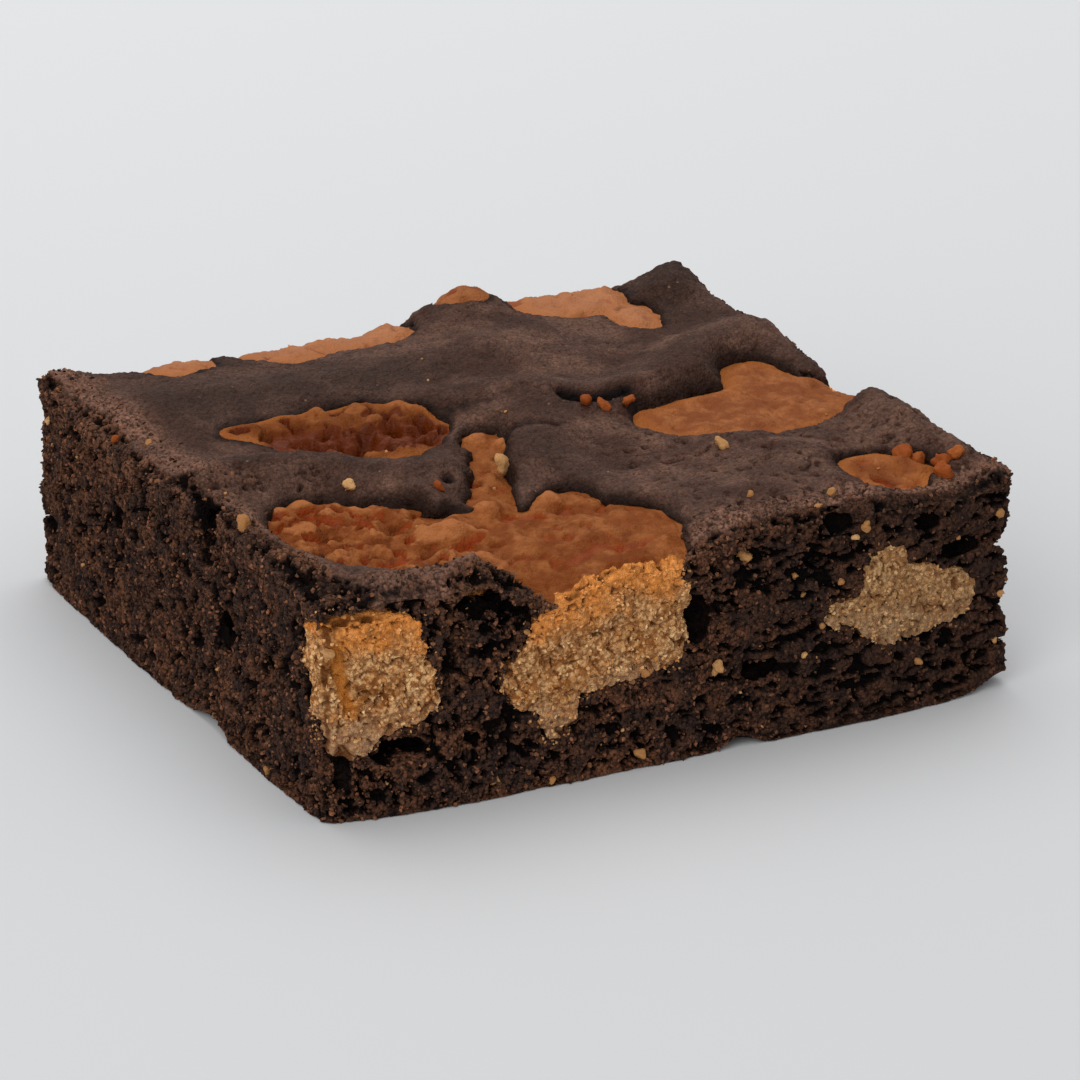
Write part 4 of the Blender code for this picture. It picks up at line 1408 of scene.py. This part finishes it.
def scatter_tree(name, where, per_mm2, smallest, largest, seed):
    """Geometry nodes that strew small grains over a mesh, as thickly as an attribute says."""
    tree = bpy.data.node_groups.new(name, "GeometryNodeTree")
    for way in ("INPUT", "OUTPUT"):
        tree.interface.new_socket("Geometry", in_out=way, socket_type="NodeSocketGeometry")
    given, out = tree.nodes.new("NodeGroupInput"), tree.nodes.new("NodeGroupOutput")
    allowed = add(tree, "GeometryNodeInputNamedAttribute", data_type="FLOAT", Name=where).outputs["Attribute"]
    density = tree.nodes.new("ShaderNodeMath")
    density.operation = "MULTIPLY"
    tree.links.new(allowed, density.inputs[0])
    density.inputs[1].default_value = per_mm2 / MM**2
    spread = add(
        tree,
        "GeometryNodeDistributePointsOnFaces",
        Mesh=given.outputs[0],
        Density=density.outputs[0],
        Seed=seed,
    )
    ball = add(tree, "GeometryNodeMeshIcoSphere", Radius=0.5 * MM, Subdivisions=1)
    turn = add(tree, "FunctionNodeRandomValue", data_type="FLOAT_VECTOR")
    turn.inputs["Max"].default_value = (FULL_TURN,) * 3
    size = add(tree, "FunctionNodeRandomValue", data_type="FLOAT_VECTOR")
    size.inputs["Min"].default_value = (smallest,) * 3
    size.inputs["Max"].default_value = (largest,) * 3
    size.inputs["Seed"].default_value = seed + 1
    strewn = add(
        tree,
        "GeometryNodeInstanceOnPoints",
        Points=spread.outputs["Points"],
        Instance=ball.outputs["Mesh"],
        Rotation=turn.outputs["Value"],
        Scale=size.outputs["Value"],
    )
    shade = add(tree, "FunctionNodeRandomValue", data_type="FLOAT")
    shade.inputs["Seed"].default_value = seed + 2
    marked = add(tree, "GeometryNodeStoreNamedAttribute", data_type="FLOAT", domain="INSTANCE", Name="shade")
    tree.links.new(strewn.outputs[0], marked.inputs["Geometry"])
    tree.links.new(shade.outputs[1], marked.inputs["Value"])
    real = add(tree, "GeometryNodeRealizeInstances", Geometry=marked.outputs[0])
    dent = add(tree, "ShaderNodeTexNoise", Scale=1 / (GRAIN_DENT_SIZE * MM), Detail=0.0)
    shift = add(tree, "ShaderNodeVectorMath", operation="MULTIPLY_ADD")
    tree.links.new(dent.outputs["Color"], shift.inputs[0])
    shift.inputs[1].default_value = (GRAIN_DENT * MM,) * 3
    shift.inputs[2].default_value = (-0.5 * GRAIN_DENT * MM,) * 3
    moved = add(tree, "GeometryNodeSetPosition", Geometry=real.outputs[0], Offset=shift.outputs[0])
    tree.links.new(moved.outputs[0], out.inputs[0])
    return tree


def scattered(name, host, where, per_mm2, smallest, largest, seed):
    """A mesh of grains strewn over the host mesh, none of them below the floor."""
    piece = new_object("scatter", host.copy())
    strew = piece.modifiers.new("Strew", "NODES")
    strew.node_group = scatter_tree(name, where, per_mm2, smallest, largest, seed)
    mesh = applied(piece)
    set_points(mesh, np.maximum(get_points(mesh), (-np.inf, -np.inf, 0)))
    return mesh


def landing(surface, face, first, second):
    """Where a crumb lands on a cut face, at a place along it and a height, or on top, at x and y."""
    inward = (0, 0, -1) if face == "top" else (*INWARD[face], 0)
    if face == "top":
        start = (first, second, 2 * GROUND)
    elif face in ("front", "back"):
        start = (first, -inward[1] * WIDTH, second)
    else:
        start = (-inward[0] * LENGTH, first, second)
    place, normal, _, _ = surface.ray_cast(Vector(start) * MM, Vector(inward))
    return place, normal


def add_crumb(bm, shade_layer, place, normal, size, draw):
    """One crumb: a small ball pulled out of round, half sunk into what it lies on."""
    turn = Matrix.Rotation(draw.uniform(0, math.tau), 4, normal)
    radii = [draw.uniform(*span) * size * MM for span in CRUMB_RADII]
    centre = Matrix.Translation(place + normal * size * MM * 0.15)
    level = 3 if size > 1 else 2
    ball = centre @ (turn @ Matrix.Diagonal((*radii, 1)))
    made = bmesh.ops.create_icosphere(bm, subdivisions=level, radius=1, matrix=ball)
    shade, seed = draw.random(), draw.uniform(0, 50)
    for vertex in made["verts"]:
        out = vertex.co - place
        broad = noise.noise(vertex.co / (0.5 * size * MM) + Vector((seed, 0, 0)))
        fine = noise.noise(vertex.co / (0.25 * MM) + Vector((0, seed, 0)))
        vertex.co += out * (0.7 * broad + 0.22 * fine)
        vertex.co.z = max(vertex.co.z, 0)
        vertex[shade_layer] = shade


def stray_specks():
    """Places and sizes of the small crumbs, by a seeded draw."""
    draw = random.Random(SPECK_SEED)
    for _ in range(SPECKS):
        face = draw.choice(("top", "front", "left", "right", "back"))
        first = draw.uniform(-33, 33)
        second = draw.uniform(-32, 32) if face == "top" else draw.uniform(1, 19)
        yield face, first, second, draw.uniform(*SPECK_SIZE)


def crumbs_mesh(name, surface, places, seed):
    draw = random.Random(seed)
    bm = bmesh.new()
    shade_layer = bm.verts.layers.float.new("shade")
    for face, first, second, size in places:
        place, normal = landing(surface, face, first, second)
        if place:
            add_crumb(bm, shade_layer, place, normal, size, draw)
    return new_mesh(name, bm)


# ---------------------------------------------------------------- the bar


def cut_apart(block):
    """The dark crumb and each lump of dough as they lie in the bar, each a closed mesh."""
    batter = slab(block, batter_top, crust_relief, crumb_relief, TORN)
    dough = slab(block, dough_top, dough_top_relief, sandy_relief, DOUGH_TORN)
    lumps = bpy.data.collections.new("lumps")
    bpy.context.scene.collection.children.link(lumps)
    pieces = {}
    for name in DOUGH:
        cutter = new_object(name + "_cutter", lump_mesh(name), lumps)
        pieces[name] = boolean(dough.copy(), "INTERSECT", object=cutter)
    body = boolean(batter, "DIFFERENCE", operand_type="COLLECTION", collection=lumps)
    for cutter in list(lumps.objects):
        bpy.data.objects.remove(cutter)
    bpy.data.collections.remove(lumps)
    return body, pieces


def build_bar():
    grains, patches, specks = grain_group(), patch_group(), speck_group()
    crumb_finish = crumb_material(grains, patches, specks)
    dough_finish = dough_material(grains, patches)
    loose = {name: loose_material(name, *shades, patches) for name, shades in LOOSE_FINISHES.items()}

    body, pieces = cut_apart(fine_block())
    for name, mesh in pieces.items():
        mark_dough(mesh, DOUGH[name])
        finish_piece(name + "_baked", mesh, dough_finish, "cookie", [name])
    dough_surface = surface_of(pieces.values())
    bodies = [thinned(part, PIECE_TRIANGLES) for part in above_and_below(body, SPLIT_LEVEL)]
    for name, mesh in zip(("crust_and_crumb", "crumb_below"), bodies):
        mark_crumb(mesh, dough_surface)
        finish_piece(name, mesh, crumb_finish, "chocolate", ["brownie"])

    laid_on = {"crumb": bodies, "dough": pieces.values()}
    hosts = {name: new_mesh(name, gathered(meshes)) for name, meshes in laid_on.items()}
    for name, host, where, per_mm2, smallest, largest, seed, finish, slot in GRAINS:
        mesh = scattered(name, hosts[host], where, per_mm2, smallest, largest, seed)
        finish_piece(name, mesh, loose[finish], slot, sharp=GRAIN_SHARP_ANGLE)
    surface = surface_of([*bodies, *pieces.values()])
    crumbs = crumbs_mesh("crumbs", surface, [*CRUMBS, *stray_specks()], 6)
    finish_piece("dough_crumbs", crumbs, loose["stray_dough"], "cookie")
    bits = crumbs_mesh("bits", surface, BAKED_BITS, 8)
    finish_piece("browned_bits", bits, loose["browned_dough"], "cookie")


# ---------------------------------------------------------------- floor, light and camera


FLOOR_SIZE = 2  # metres from its middle to its edge
# The floor's colour paints the falloff of light: darker near the camera, lighter far off
FLOOR_NEAR, FLOOR_FAR = (0.615, 0.620, 0.627), (0.760, 0.766, 0.775)
FLOOR_LIGHT_FALLOFF = (-250.0, 500.0)  # from where to where the painted light falloff takes it from its near colour to its far one
# Lights: (name, place, size, power), in metres, all aimed at the bar
LIGHTS = [
    ("overhead", (0.10, 0.35, 0.75), 0.9, 2.9),
    ("front_fill", (-0.75, -0.6, 0.6), 0.8, 4.4),
]
SKY_COLOUR = (0.985, 0.992, 1.0, 1)
SKY_STRENGTH = 0.62
CAMERA_PLACE = (-0.21439, -0.43347, 0.20421)
CAMERA_PITCH_DOWN = 0.38242
CAMERA_TURN = -0.46428
CAMERA_LENS = 176.82
SENSOR_WIDTH = 36
CLIP_END = 10


def build_floor():
    bm = bmesh.new()
    bmesh.ops.create_grid(bm, x_segments=1, y_segments=1, size=FLOOR_SIZE)
    constants = {"Metallic": 0.0, "Roughness": 0.8, "Specular IOR Level": 0.2}
    material, tree, shader = new_material("floor", constants)
    place = add(tree, "ShaderNodeSeparateXYZ", Vector=millimetres(tree))
    # Painted light falloff: the floor gets lighter with distance
    farther = ramp(tree, place.outputs["Y"], *FLOOR_LIGHT_FALLOFF)
    tree.links.new(mix(tree, farther, FLOOR_NEAR, FLOOR_FAR), shader.inputs["Base Color"])
    mesh = new_mesh("floor", bm)
    mesh.materials.append(material)
    new_object("floor", mesh)


def area_light(name, place, size, power):
    light = bpy.data.lights.new(name, "AREA")
    light.shape, light.size, light.energy = "DISK", size, power
    obj = new_object(name, light)
    obj.location = place
    obj.rotation_euler = (-Vector(place)).to_track_quat("-Z", "Y").to_euler()


def build_light():
    world = bpy.data.worlds.new("studio")
    world.use_nodes = True
    background = world.node_tree.nodes["Background"]
    background.inputs["Color"].default_value = SKY_COLOUR
    background.inputs["Strength"].default_value = SKY_STRENGTH
    bpy.context.scene.world = world
    for light in LIGHTS:
        area_light(*light)
    bpy.context.scene.view_settings.view_transform = "Standard"


def build_camera():
    camera = bpy.data.cameras.new("camera")
    camera.sensor_width = SENSOR_WIDTH
    camera.lens = CAMERA_LENS
    camera.clip_end = CLIP_END
    obj = new_object("camera", camera)
    obj.location = CAMERA_PLACE
    obj.rotation_euler = (math.pi / 2 - CAMERA_PITCH_DOWN, 0, CAMERA_TURN)
    bpy.context.scene.camera = obj


build_camera()
build_light()
build_floor()
build_bar()
